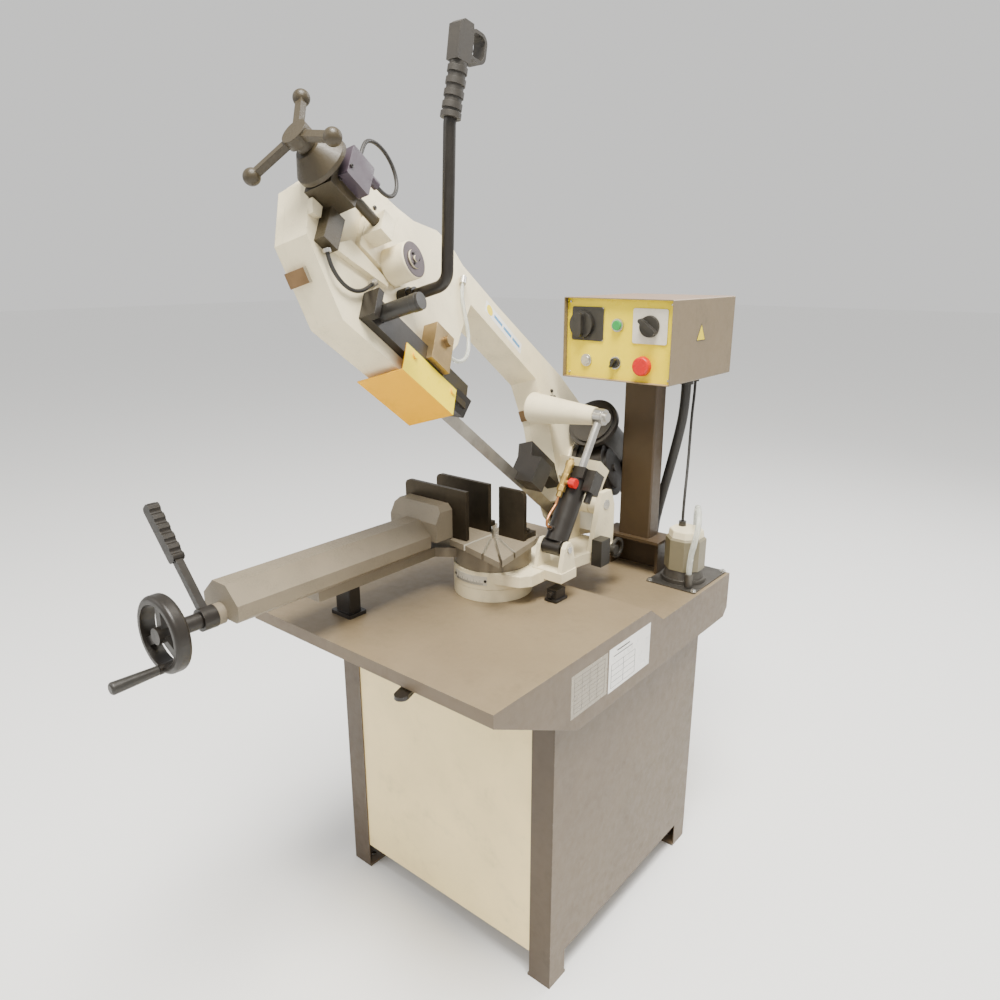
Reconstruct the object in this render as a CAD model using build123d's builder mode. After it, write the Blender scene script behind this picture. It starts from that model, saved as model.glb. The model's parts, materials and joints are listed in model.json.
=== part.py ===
from build123d import *
from math import atan2, cos, degrees, hypot, pi, radians, sin, tan
import os

# A manual mitre band saw on a sheet-metal stand.
# Frame: origin on the floor at the centre of the four anchor-bolt holes, +Z up,
# +Y to the rear, +X to the operator's right.  All sizes are in millimetres.

# ---------------------------------------------------------------- driving dimensions
SHEET = 3.0                # sheet metal of the stand and the drip tray
CABINET_HALF_X = 318.0
CABINET_HALF_Y = 315.0
CABINET_TOP = 745.0
LEG = 56.0                 # width of each folded corner leg
PANEL_BOTTOM = 65.0        # lower edge of the panels between the legs
ANCHOR_X = 285.0           # anchor hole, half spacing across
ANCHOR_Y = 282.0           # anchor hole, half spacing front to back
ANCHOR_R = 7.0

TRAY_HALF_X = 342.0
TRAY_FRONT = -531.0
TRAY_REAR = 424.0
TRAY_HIGH = 794.0          # top of the front half of the tray
TRAY_LOW = 751.0           # top of the sunken rear half
STEP_FRONT = 5.0
STEP_REAR = 66.0
LIP_BOTTOM = 767.0
SKIRT_BOTTOM = 635.0
SKIRT_CORNER = -273.0

TURN_X = -8.0              # swivel axis of the saw head
TURN_Y = -111.0
RING_R = 91.0
BASE_RING_TOP = 823.0
RING_TOP = 864.0
TABLE_TOP = 924.0

VISE_X = -133.0            # centre line of the vise screw
SCREW_Z = 912.0
JAW_TOP = 1038.0
JAW_FACE = -108.0          # front of the fixed jaw plates
JAW_THICK = 10.0
MOVING_JAW_FACE = -179.0

PIVOT_Y = 128.0            # hinge of the saw bow
PIVOT_Z = 967.0
BOW_ANGLE = 38.0           # the bow is stored raised by this angle
BLADE_BELOW_PIVOT = 37.8
WHEEL_TILT = 21.0          # wheel plane, turned about the blade from vertical
WHEEL_R = 133.0            # radius of the blade's middle line on the wheels
WHEEL_SPACING = 840.0
IDLER_S = 746.0            # idler axis, measured forward along the blade from the hinge
BLADE_WIDTH = 27.0
BLADE_THICK = 0.9
CASTING_BACK = -12.0       # casting depth along the wheel axis
CASTING_FACE = 40.0
COVER_BACK = -30.0         # rear face of the blade cover behind the casting
CASTING_WALL = 7.0
PIVOT_R = 12.5             # hinge shaft of the bow
PIN_R = 8.0                # pins of the feed cylinder
RUN = 0.05                 # radial clearance of the running fits

BOX_X0 = -47.0
BOX_X1 = 247.0
BOX_Y0 = 208.0
BOX_Y1 = 539.0
BOX_Z0 = 1248.0
BOX_Z1 = 1440.0
PANEL_Y = 223.0            # face of the control panel, recessed under the hood

CYLINDER_X = 132.0
LOWER_PIN = (-66.0, 914.0)     # y, z of the feed cylinder's lower pin
UPPER_PIN = (103.1, 1181.0)    # y, z of its upper pin while the bow is raised

# ---------------------------------------------------------------- derived positions
lean = radians(BOW_ANGLE)
tilt = radians(WHEEL_TILT)
forward = Vector(0, -cos(lean), sin(lean))      # along the blade, away from the hinge
square = Vector(0, sin(lean), cos(lean))        # square to the blade, away from the work
across = Vector(1, 0, 0)
wheel_axis = across * cos(tilt) + square * sin(tilt)
blade_origin = Vector(TURN_X, PIVOT_Y, PIVOT_Z) - square * BLADE_BELOW_PIVOT

# Sketch planes of the bow.  Local x runs backwards along the blade, so a point that
# lies s forward of the hinge has x = -s.
guide_plane = Plane(origin=blade_origin, x_dir=forward * -1, z_dir=across)
wheel_plane = Plane(origin=blade_origin, x_dir=forward * -1, z_dir=wheel_axis)
DRIVE_S = IDLER_S - WHEEL_SPACING
TURN_CENTRE = (TURN_X, TURN_Y)


def bow_points(points):
    """Turn (forward, up) pairs into local sketch points of a bow plane."""
    return [(-s, w) for s, w in points]


def bow_place(s, w, a):
    """World position of a point given in wheel-plane terms."""
    return blade_origin + forward * s + (square * cos(tilt) - across * sin(tilt)) * w + wheel_axis * a


def facing(origin, direction):
    """Plane at a point with its normal along a direction."""
    return Plane(origin=origin, z_dir=direction)


def plane_at_y(y):
    """Sketch plane facing -Y at the given y: local x is X, local y is Z."""
    return Plane.XZ.offset(-y)


def finish(builder, node):
    """Label a finished piece and write its STEP file."""
    builder.part.label = node
    export_step(builder.part, f"parts/{node}.step")


os.makedirs("parts", exist_ok=True)

# ================================================================ STAND
# Two folded side sheets carry the legs; a front, a back and a floor close the cabinet.
with BuildPart() as cabinet_sides:
    for sign in (-1, 1):
        with BuildSketch(Plane.YZ.offset(sign * (CABINET_HALF_X - SHEET))):
            with Locations((0, CABINET_TOP / 2)):
                Rectangle(2 * CABINET_HALF_Y, CABINET_TOP)
            with Locations((0, PANEL_BOTTOM / 2)):
                Rectangle(2 * (CABINET_HALF_Y - LEG), PANEL_BOTTOM, mode=Mode.SUBTRACT)
        extrude(amount=sign * SHEET)
        for end, flange_top in ((-1, CABINET_TOP), (1, SKIRT_BOTTOM)):
            flange_x = sign * (CABINET_HALF_X - LEG / 2)
            flange_y = end * (CABINET_HALF_Y - SHEET / 2)
            with Locations((flange_x, flange_y, flange_top / 2)):
                Box(LEG, SHEET, flange_top)
            foot_x = sign * (CABINET_HALF_X - 30)
            foot_y = end * (CABINET_HALF_Y - 30)
            with Locations((foot_x, foot_y, 3)):
                Box(60, 60, 6)
            with Locations((sign * ANCHOR_X, end * ANCHOR_Y, 3)):
                Cylinder(ANCHOR_R, 6, mode=Mode.SUBTRACT)
finish(cabinet_sides, "cabinet_sides")

with BuildPart() as cabinet_panels:
    for face_y, panel_top in ((-CABINET_HALF_Y + 2 * SHEET, CABINET_TOP), (CABINET_HALF_Y - SHEET, SKIRT_BOTTOM)):
        with BuildSketch(plane_at_y(face_y)):
            with Locations((0, (panel_top + PANEL_BOTTOM) / 2)):
                RectangleRounded(2 * (CABINET_HALF_X - LEG + 12), panel_top - PANEL_BOTTOM, 4)
        extrude(amount=SHEET)
    # ventilation louvres in the back panel
    with BuildSketch(plane_at_y(CABINET_HALF_Y - SHEET)):
        with Locations((0, 360)):
            with GridLocations(0, 22, 1, 8):
                SlotOverall(180, 7)
    extrude(amount=SHEET, mode=Mode.SUBTRACT)
finish(cabinet_panels, "cabinet_panels")

with BuildPart() as cabinet_decks:
    deck_x = 2 * (CABINET_HALF_X - SHEET)
    deck_y = 2 * (CABINET_HALF_Y - 2 * SHEET)
    with Locations((0, 0, PANEL_BOTTOM + 10)):
        Box(deck_x, deck_y, SHEET)
    with Locations((0, 0, CABINET_TOP - SHEET)):
        Box(deck_x, deck_y, 2 * SHEET)
    # cut-out over the coolant tank
    with Locations((252, 270, CABINET_TOP - SHEET)):
        Box(124, 80, 2 * SHEET, mode=Mode.SUBTRACT)
finish(cabinet_decks, "cabinet_decks")

# ---------------------------------------------------------------- drip tray
PUMP_X = 266.0
PUMP_Y = 313.0
with BuildPart() as tray:
    with BuildSketch(Plane.YZ.offset(-TRAY_HALF_X)):
        with BuildLine():
            Polyline(
                (TRAY_FRONT, LIP_BOTTOM),
                (TRAY_FRONT, TRAY_HIGH),
                (STEP_FRONT, TRAY_HIGH),
                (STEP_REAR, TRAY_LOW),
                (TRAY_REAR, TRAY_LOW),
                (TRAY_REAR, SKIRT_BOTTOM + 20),
                (TRAY_REAR - SHEET, SKIRT_BOTTOM + 20),
                (TRAY_REAR - SHEET, TRAY_LOW - SHEET),
                (STEP_REAR - 1, TRAY_LOW - SHEET),
                (STEP_FRONT - 1, TRAY_HIGH - SHEET),
                (TRAY_FRONT + SHEET, TRAY_HIGH - SHEET),
                (TRAY_FRONT + SHEET, LIP_BOTTOM),
                close=True,
            )
        make_face()
    extrude(amount=2 * TRAY_HALF_X)
    for sign in (-1, 1):
        with BuildSketch(Plane.YZ.offset(sign * (TRAY_HALF_X - SHEET))):
            with BuildLine():
                Polyline(
                    (TRAY_FRONT, LIP_BOTTOM),
                    (TRAY_FRONT, TRAY_HIGH),
                    (STEP_FRONT, TRAY_HIGH),
                    (STEP_REAR, TRAY_LOW),
                    (TRAY_REAR, TRAY_LOW),
                    (TRAY_REAR, SKIRT_BOTTOM + 20),
                    (TRAY_REAR - 20, SKIRT_BOTTOM),
                    (SKIRT_CORNER, SKIRT_BOTTOM),
                    close=True,
                )
            make_face()
        extrude(amount=sign * SHEET)
    with Locations((TURN_X, TURN_Y, TRAY_HIGH)):
        Cylinder(RING_R - 8, 20, mode=Mode.SUBTRACT)
    with Locations((PUMP_X + 1, PUMP_Y + 18, TRAY_LOW)):
        Box(116, 160, 20, mode=Mode.SUBTRACT)
finish(tray, "drip_tray")

with BuildPart() as tank:
    with Locations((254, 327, 696.5)):
        Box(116, 182, 103)
    with Locations((254, 327, 699.5)):
        Box(110, 176, 103, mode=Mode.SUBTRACT)
finish(tank, "coolant_tank")

# ================================================================ COOLANT PUMP
with BuildPart() as pump_base:
    with BuildSketch(Plane.XY.offset(TRAY_LOW)):
        with Locations((PUMP_X + 1, PUMP_Y + 18)):
            RectangleRounded(132, 186, 4)
        with Locations((PUMP_X, PUMP_Y)):
            Circle(26, mode=Mode.SUBTRACT)
    extrude(amount=SHEET)
    with BuildSketch(Plane.XY.offset(TRAY_LOW + SHEET)):
        with Locations((PUMP_X, PUMP_Y)):
            Circle(56)
    extrude(amount=10)
    with BuildSketch(Plane.XY.offset(TRAY_LOW + SHEET + 10)):
        with Locations((PUMP_X, PUMP_Y)):
            Circle(50)
    extrude(amount=22, taper=12)
    with BuildSketch(Plane.XY.offset(670)):
        with Locations((PUMP_X, PUMP_Y)):
            Circle(24)
    extrude(amount=TRAY_LOW + SHEET - 670)
    # outlet elbow for the hose, on the front right
    with Locations((PUMP_X + 38, PUMP_Y - 50, 772)):
        Cylinder(10, 32)
finish(pump_base, "pump_base")

PUMP_TOP = 868.0
with BuildPart() as pump_motor:
    with BuildSketch(Plane.XY.offset(786)):
        with Locations((PUMP_X, PUMP_Y)):
            RegularPolygon(radius=50, side_count=8, rotation=22.5)
    extrude(amount=PUMP_TOP - 786)
    chamfer(pump_motor.edges().group_by(Axis.Z)[-1], 5)
    with BuildSketch(Plane.XY.offset(PUMP_TOP)):
        with Locations((PUMP_X, PUMP_Y)):
            RegularPolygon(radius=44, side_count=8, rotation=22.5)
    extrude(amount=18, taper=8)
    fillet(pump_motor.edges().group_by(Axis.Z)[-1], 4)
    # cable gland
    with Locations((PUMP_X - 18, PUMP_Y + 12, PUMP_TOP + 22)):
        Cylinder(9, 16)
finish(pump_motor, "pump_motor")

# ================================================================ CONTROL COLUMN
POST_X0 = 91.0
POST_X1 = 180.0
POST_Y0 = 280.0
POST_Y1 = 329.0
SHELF_TOP = 847.0
with BuildPart() as column:
    with Locations(((46 + 214) / 2, (266 + 346) / 2, SHELF_TOP - 4)):
        Box(214 - 46, 346 - 266, 8)
    for x in (60, 196):
        with Locations((x, 320, (SHELF_TOP - 8 + TRAY_LOW) / 2)):
            Box(8, 50, SHELF_TOP - 8 - TRAY_LOW)
    with Locations((128, 341, (SHELF_TOP - 8 + TRAY_LOW) / 2)):
        Box(144, 8, SHELF_TOP - 8 - TRAY_LOW)
    with BuildSketch(Plane.XY.offset(SHELF_TOP)):
        with Locations(((POST_X0 + POST_X1) / 2, (POST_Y0 + POST_Y1) / 2)):
            RectangleRounded(POST_X1 - POST_X0, POST_Y1 - POST_Y0, 5)
        with Locations(((POST_X0 + POST_X1) / 2, (POST_Y0 + POST_Y1) / 2)):
            RectangleRounded(POST_X1 - POST_X0 - 6, POST_Y1 - POST_Y0 - 6, 2.5, mode=Mode.SUBTRACT)
    extrude(amount=BOX_Z0 - SHELF_TOP)
finish(column, "control_column")

box_x = (BOX_X0 + BOX_X1) / 2
box_y = (BOX_Y0 + BOX_Y1) / 2
box_z = (BOX_Z0 + BOX_Z1) / 2
with BuildPart() as control_box:
    with Locations((box_x, box_y, box_z)):
        Box(BOX_X1 - BOX_X0, BOX_Y1 - BOX_Y0, BOX_Z1 - BOX_Z0)
    fillet(control_box.edges().filter_by(Axis.Y), 3)
    with Locations((box_x, box_y - 2, box_z)):
        Box(BOX_X1 - BOX_X0 - 4, BOX_Y1 - BOX_Y0, BOX_Z1 - BOX_Z0 - 4, mode=Mode.SUBTRACT)
finish(control_box, "control_box")

PANEL_T = 3.0
MAIN_SWITCH = (0.0, 1376.0)
LAMP = (98.6, 1378.0)
CAM_SWITCH = (184.0, 1379.0)
START = (13.5, 1291.0)
SPEED = (96.0, 1290.0)
STOP = (175.0, 1289.0)
with BuildPart() as panel:
    with BuildSketch(plane_at_y(PANEL_Y)):
        with Locations((box_x, box_z)):
            Rectangle(BOX_X1 - BOX_X0 - 4, BOX_Z1 - BOX_Z0 - 4)
        with Locations(START, STOP):
            Circle(11.1, mode=Mode.SUBTRACT)
        with Locations(MAIN_SWITCH, CAM_SWITCH, SPEED):
            Circle(6.1, mode=Mode.SUBTRACT)
    extrude(amount=-PANEL_T)
finish(panel, "control_panel")

# Square escutcheons of the two cam switches, round bezels of the buttons, and the lamp.
with BuildPart() as fittings:
    with BuildSketch(plane_at_y(PANEL_Y)):
        with Locations((MAIN_SWITCH[0] + 15, MAIN_SWITCH[1] + 2), (CAM_SWITCH[0], CAM_SWITCH[1])):
            RectangleRounded(90, 80, 5)
        with Locations(MAIN_SWITCH, CAM_SWITCH):
            Circle(6.1, mode=Mode.SUBTRACT)
    extrude(amount=3)
    with BuildSketch(plane_at_y(PANEL_Y)):
        with Locations(START, STOP):
            Circle(15)
            Circle(11.1, mode=Mode.SUBTRACT)
        with Locations(SPEED):
            Circle(15)
            Circle(6.1, mode=Mode.SUBTRACT)
    extrude(amount=3.5)
    with BuildSketch(plane_at_y(PANEL_Y)):
        with Locations(LAMP):
            Circle(16)
    extrude(amount=6, taper=6)
    with BuildSketch(plane_at_y(PANEL_Y - 6)):
        with Locations(LAMP):
            Circle(12)
    extrude(amount=5, taper=15)
finish(fittings, "panel_fittings")

with BuildPart() as main_knob:
    with BuildSketch(plane_at_y(PANEL_Y - 3.4)):
        with Locations(MAIN_SWITCH):
            Circle(33)
    extrude(amount=9, taper=6)
    with BuildSketch(plane_at_y(PANEL_Y - 12.4)):
        with Locations(MAIN_SWITCH):
            SlotOverall(58, 20, rotation=90)
    extrude(amount=13, taper=4)
    with BuildSketch(plane_at_y(PANEL_Y - 3.4)):
        with Locations(MAIN_SWITCH):
            Circle(6)
    extrude(amount=-20)
finish(main_knob, "main_switch_knob")

with BuildPart() as cam_knob:
    with BuildSketch(plane_at_y(PANEL_Y - 3.4)):
        with Locations(CAM_SWITCH):
            Circle(25)
    extrude(amount=7, taper=8)
    with BuildSketch(plane_at_y(PANEL_Y - 10.4)):
        with Locations(CAM_SWITCH):
            SlotOverall(54, 12, rotation=-35)
    extrude(amount=12, taper=4)
    with BuildSketch(plane_at_y(PANEL_Y - 3.4)):
        with Locations(CAM_SWITCH):
            Circle(6)
    extrude(amount=-20)
finish(cam_knob, "cam_switch_knob")

with BuildPart() as speed_knob:
    with BuildSketch(plane_at_y(PANEL_Y - 3.9)):
        with Locations(SPEED):
            Circle(12)
    extrude(amount=6, taper=6)
    with BuildSketch(plane_at_y(PANEL_Y - 9.9)):
        with Locations(SPEED):
            SlotOverall(24, 7, rotation=60)
    extrude(amount=10, taper=5)
    with BuildSketch(plane_at_y(PANEL_Y - 3.9)):
        with Locations(SPEED):
            Circle(6)
    extrude(amount=-20)
finish(speed_knob, "mode_switch_knob")

BUTTON_TRAVEL = 4.0
with BuildPart() as start_button:
    with BuildSketch(plane_at_y(PANEL_Y + 22)):
        with Locations(START):
            Circle(11)
    extrude(amount=22 + 3.5 + BUTTON_TRAVEL)
    fillet(start_button.edges().sort_by(Axis.Y)[0], 1.5)
finish(start_button, "start_button")

with BuildPart() as stop_button:
    with BuildSketch(plane_at_y(PANEL_Y + 22)):
        with Locations(STOP):
            Circle(11)
    extrude(amount=22 + 3.5 + 8)
    with BuildSketch(plane_at_y(PANEL_Y - 3.5 - 8)):
        with Locations(STOP):
            Circle(23)
    extrude(amount=14, taper=8)
    fillet(stop_button.edges().sort_by(Axis.Y)[0], 4)
finish(stop_button, "emergency_stop_button")

# ================================================================ TURNTABLE AND TABLE
with BuildPart() as turn_base:
    with BuildSketch(Plane.XY.offset(CABINET_TOP)):
        with Locations(TURN_CENTRE):
            Circle(RING_R - 10)
    extrude(amount=TRAY_HIGH - CABINET_TOP)
    with BuildSketch(Plane.XY.offset(TRAY_HIGH)):
        with Locations(TURN_CENTRE):
            Circle(RING_R)
    extrude(amount=BASE_RING_TOP - TRAY_HIGH)
    with BuildSketch(Plane.XY.offset(BASE_RING_TOP)):
        with Locations(TURN_CENTRE):
            Circle(40)
    extrude(amount=RING_TOP - BASE_RING_TOP)
finish(turn_base, "turntable_base")

TABLE_EDGE = 910.0         # underside of the overhanging table plate
SLOT_FLOOR = 907.0
ARM_TOP = 901.0
ARM_BOTTOM = 879.0
MITRE_STOPS = (0, 30, 45, 60)
SLOT_REACH = {0: 102, 30: 137, 45: 184, 60: 136}
TABLE_R = 101.0            # the table is rounded off here, clear of the feed cylinder
table_corner = [
    (TURN_X + TABLE_R * cos(radians(turn)), TURN_Y + TABLE_R * sin(radians(turn)))
    for turn in (6, 23, 40.8)
]
with BuildPart() as table:
    with BuildSketch(Plane.XY.offset(RING_TOP)):
        with Locations(TURN_CENTRE):
            Circle(RING_R - 3)
    extrude(amount=TABLE_EDGE - RING_TOP)
    with BuildSketch(Plane.XY.offset(TABLE_EDGE)):
        with BuildLine():
            Polyline(
                table_corner[-1],
                (-200, table_corner[-1][1]),
                (-200, -155),
                (-74, -155),
                (-60, -200),
                (-14, -208),
                (118, -241),
                table_corner[0],
            )
            ThreePointArc(table_corner[0], table_corner[1], table_corner[2])
        make_face()
    extrude(amount=TABLE_TOP - TABLE_EDGE)
    with BuildSketch(Plane.XY.offset(ARM_TOP)):
        with BuildLine():
            Polyline((-196, -150), (-196, -48), (60, -48), (60, -150), close=True)
        make_face()
    extrude(amount=TABLE_EDGE - ARM_TOP)
    # arm that carries the sliding vise
    with BuildSketch(Plane.XY.offset(ARM_BOTTOM)):
        with BuildLine():
            Polyline((-205, -542), (-205, -48), (0, -48), (0, -150), (-93, -215), (-93, -542), close=True)
        make_face()
    extrude(amount=ARM_TOP - ARM_BOTTOM)
    # saw kerfs through the swivel axis, at each mitre stop
    for stop in MITRE_STOPS:
        reach = SLOT_REACH[stop]
        turn = radians(stop)
        front = (TURN_X + reach * sin(turn), TURN_Y - reach * cos(turn))
        rear = (TURN_X - 230 * sin(turn), TURN_Y + 230 * cos(turn))
        middle = ((front[0] + rear[0]) / 2, (front[1] + rear[1]) / 2, (SLOT_FLOOR + TABLE_TOP + 2) / 2)
        with Locations(Location(middle, (0, 0, stop))):
            Box(6, 230 + reach, TABLE_TOP + 2 - SLOT_FLOOR, mode=Mode.SUBTRACT)
finish(table, "vise_table")

# Prop under the vise arm, nut of the vise screw and stop bracket of the swivel.
with BuildPart() as hardware:
    with BuildSketch(Plane.XY.offset(TRAY_HIGH)):
        with Locations((-158, -418)):
            RectangleRounded(62, 48, 4)
    extrude(amount=8)
    with BuildSketch(Plane.XY.offset(TRAY_HIGH + 8)):
        with Locations((-158, -418)):
            RectangleRounded(46, 32, 4)
    extrude(amount=ARM_BOTTOM - TRAY_HIGH - 8)
    # guide nut of the vise screw, bolted on the front end of the arm
    with BuildSketch(Plane.XY.offset(ARM_TOP)):
        with Locations((VISE_X, -518)):
            Rectangle(30, 40)
    extrude(amount=23)
    with Locations(Location((VISE_X, -518, SCREW_Z), (90, 0, 0))):
        Cylinder(8.6, 40, mode=Mode.SUBTRACT)
    # stop bracket beside the turntable
    with BuildSketch(Plane.XY.offset(TRAY_HIGH)):
        with Locations((146, -76)):
            RectangleRounded(34, 46, 3)
    extrude(amount=6)
    with BuildSketch(Plane.XY.offset(TRAY_HIGH + 6)):
        with Locations((146, -76)):
            Rectangle(26, 34)
    extrude(amount=22)
    with Locations(Location((146, -98, TRAY_HIGH + 18), (90, 0, 0))):
        Cylinder(6, 12)
finish(hardware, "table_hardware")


for node, x0, x1, foot_x0, foot_x1, corner in (
    ("fixed_jaw_left", -187, -24, -180, -46, 0),
    ("fixed_jaw_right", 6, 78, 14, 74, -1),
):
    with BuildPart() as jaw:
        with BuildSketch(plane_at_y(JAW_FACE)):
            with Locations(((x0 + x1) / 2, (TABLE_TOP + JAW_TOP) / 2)):
                Rectangle(x1 - x0, JAW_TOP - TABLE_TOP)
        extrude(amount=-JAW_THICK)
        fillet(jaw.edges().filter_by(Axis.Y).group_by(Axis.Z)[-1].sort_by(Axis.X)[corner], 14)
        with Locations(((foot_x0 + foot_x1) / 2, JAW_FACE + JAW_THICK + 20, TABLE_TOP + 6)):
            Box(foot_x1 - foot_x0, 40, 12)
        with BuildSketch(Plane.YZ.offset((foot_x0 + foot_x1) / 2 - 5)):
            with BuildLine():
                back = JAW_FACE + JAW_THICK
                Polyline((back, TABLE_TOP + 12), (back, JAW_TOP - 20), (back + 36, TABLE_TOP + 12), close=True)
            make_face()
        extrude(amount=10)
        for bolt_x in (foot_x0 + 14, foot_x1 - 14):
            with Locations((bolt_x, JAW_FACE + JAW_THICK + 24, TABLE_TOP + 15)):
                Cylinder(7, 6)
    finish(jaw, node)

# lever that clamps the turntable from under the tray
LEVER_Z = 752.0
lever_heading = atan2(-436, 141)
with BuildPart() as lock_lever:
    with BuildSketch(Plane.XY.offset(LEVER_Z)):
        with Locations(TURN_CENTRE):
            Circle(RING_R + 6)
            Circle(RING_R - 9.94, mode=Mode.SUBTRACT)
    extrude(amount=8)
    lever_mid = (TURN_X + 276 * cos(lever_heading), TURN_Y + 276 * sin(lever_heading))
    with BuildSketch(Plane.XY.offset(LEVER_Z)):
        with Locations(Location(lever_mid, degrees(lever_heading))):
            SlotOverall(380, 28)
    extrude(amount=8)
finish(lock_lever, "turntable_lock_lever")

# ================================================================ VISE
VISE_BACK = -727.0
VISE_FRONT = -242.0
SCREW_R = 8.5
with BuildPart() as vise_body:
    with BuildSketch(plane_at_y(VISE_FRONT)):
        with BuildLine():
            Polyline(
                (-188, 912),
                (-188, 938),
                (-154, 970),
                (-112, 970),
                (-78, 938),
                (-78, 912),
                (-86, 904),
                (-180, 904),
                close=True,
            )
        make_face()
    extrude(amount=VISE_FRONT - VISE_BACK)
    channel_rear = VISE_BACK + 12
    channel_front = VISE_FRONT - 8
    with Locations((VISE_X, (channel_rear + channel_front) / 2, 915)):
        Box(34, channel_front - channel_rear, 22, mode=Mode.SUBTRACT)
    with Locations(Location((VISE_X, VISE_BACK, SCREW_Z), (90, 0, 0))):
        Cylinder(SCREW_R + RUN, 40, mode=Mode.SUBTRACT)
    # the bottom is relieved where the screw bore breaks out
    with Locations((VISE_X, VISE_BACK + 6, 903)):
        Box(12, 12, 6, mode=Mode.SUBTRACT)
    # head block behind the moving jaw, bolted on the front end
    with BuildSketch(Plane.YZ.offset(-206)):
        with BuildLine():
            Polyline((-242, 925.5), (-242, 968), (-222, 1004), (-189, 1004), (-189, 925.5), close=True)
        make_face()
    extrude(amount=144)
    chamfer(vise_body.edges().filter_by(Axis.Y).group_by(Axis.Z)[-1], 12)
    # collar that keeps the screw in the body
    with BuildSketch(plane_at_y(VISE_BACK)):
        with Locations((VISE_X, SCREW_Z)):
            Circle(20)
            Circle(SCREW_R + RUN, mode=Mode.SUBTRACT)
    extrude(amount=15)
finish(vise_body, "vise_body")

with BuildPart() as moving_jaw:
    with BuildSketch(plane_at_y(MOVING_JAW_FACE - JAW_THICK)):
        with Locations((-115, (TABLE_TOP + 1 + JAW_TOP) / 2)):
            Rectangle(188, JAW_TOP - TABLE_TOP - 1)
    extrude(amount=-JAW_THICK)
    fillet(moving_jaw.edges().filter_by(Axis.Y).group_by(Axis.Z)[-1].sort_by(Axis.X)[0], 14)
finish(moving_jaw, "moving_jaw")

# quick-clamping lever, free to turn on the screw
LEVER_Y = VISE_BACK - 15.5
LEVER_TIP = (-289.0, 1092.0)
lever_dx = LEVER_TIP[0] - VISE_X
lever_dz = LEVER_TIP[1] - SCREW_Z
lever_length = hypot(lever_dx, lever_dz)
lever_turn = degrees(atan2(lever_dz, lever_dx))
lever_unit = (lever_dx / lever_length, lever_dz / lever_length)
with BuildPart() as vise_lever:
    with BuildSketch(plane_at_y(LEVER_Y)):
        with Locations((VISE_X, SCREW_Z)):
            Circle(21)
    extrude(amount=28)
    reach = lever_length / 2 + 6
    with BuildSketch(plane_at_y(LEVER_Y - 7)):
        with Locations(Location((VISE_X + lever_unit[0] * reach, SCREW_Z + lever_unit[1] * reach), lever_turn)):
            Rectangle(lever_length - 12, 15)
    extrude(amount=14)
    # moulded grip with finger notches
    grip_mid = lever_length - 60
    with BuildSketch(plane_at_y(LEVER_Y - 3)):
        with Locations(Location((VISE_X + lever_unit[0] * grip_mid, SCREW_Z + lever_unit[1] * grip_mid), lever_turn)):
            RectangleRounded(120, 25, 8)
    extrude(amount=22)
    for notch in range(5):
        along = lever_length - 104 + notch * 21
        notch_x = VISE_X + lever_unit[0] * along + lever_unit[1] * 16
        notch_z = SCREW_Z + lever_unit[1] * along - lever_unit[0] * 16
        with Locations(Location((notch_x, LEVER_Y - 14, notch_z), (90, 0, 0))):
            Cylinder(7, 30, mode=Mode.SUBTRACT)
    with Locations(Location((VISE_X, LEVER_Y - 14, SCREW_Z), (90, 0, 0))):
        Cylinder(SCREW_R + RUN, 60, mode=Mode.SUBTRACT)
finish(vise_lever, "vise_lever")

WHEEL_Y = -822.0
SCREW_FRONT = -262.0
HAND_R = 70.0
with BuildPart() as handwheel:
    with BuildSketch(plane_at_y(SCREW_FRONT)):
        with Locations((VISE_X, SCREW_Z)):
            Circle(SCREW_R)
    extrude(amount=SCREW_FRONT - WHEEL_Y + 26)
    with BuildSketch(plane_at_y(LEVER_Y - 28.5)):
        with Locations((VISE_X, SCREW_Z)):
            Circle(15)
    extrude(amount=LEVER_Y - 28.5 - WHEEL_Y + 30)
    with BuildSketch(plane_at_y(WHEEL_Y)):
        with Locations((VISE_X, SCREW_Z)):
            Circle(HAND_R)
            Circle(HAND_R - 14, mode=Mode.SUBTRACT)
    extrude(amount=28)
    fillet(handwheel.edges().filter_by(GeomType.CIRCLE).filter_by(lambda e: abs(e.radius - HAND_R) < 0.1), 8)
    with BuildSketch(plane_at_y(WHEEL_Y - 9)):
        for spoke in range(3):
            angle = radians(90 + 120 * spoke)
            with Locations(Location((VISE_X + 36 * cos(angle), SCREW_Z + 36 * sin(angle)), degrees(angle))):
                Rectangle(48, 16)
    extrude(amount=12)
    # boss that carries the crank grip
    with BuildSketch(plane_at_y(WHEEL_Y - 4)):
        with Locations((VISE_X, SCREW_Z - HAND_R + 8)):
            Circle(9)
    extrude(amount=28)
    with BuildSketch(plane_at_y(WHEEL_Y - 32)):
        with Locations((VISE_X, SCREW_Z - HAND_R + 8)):
            Circle(4.5)
    extrude(amount=78)
finish(handwheel, "vise_handwheel")

with BuildPart() as crank:
    with BuildSketch(plane_at_y(WHEEL_Y - 33)):
        with Locations((VISE_X, SCREW_Z - HAND_R + 8)):
            Circle(8.5)
    extrude(amount=82, taper=-2)
    fillet(crank.edges().sort_by(Axis.Y)[0], 5)
    with BuildSketch(plane_at_y(WHEEL_Y - 33)):
        with Locations((VISE_X, SCREW_Z - HAND_R + 8)):
            Circle(4.5 + RUN)
    extrude(amount=78, mode=Mode.SUBTRACT)
finish(crank, "crank_grip")

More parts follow.
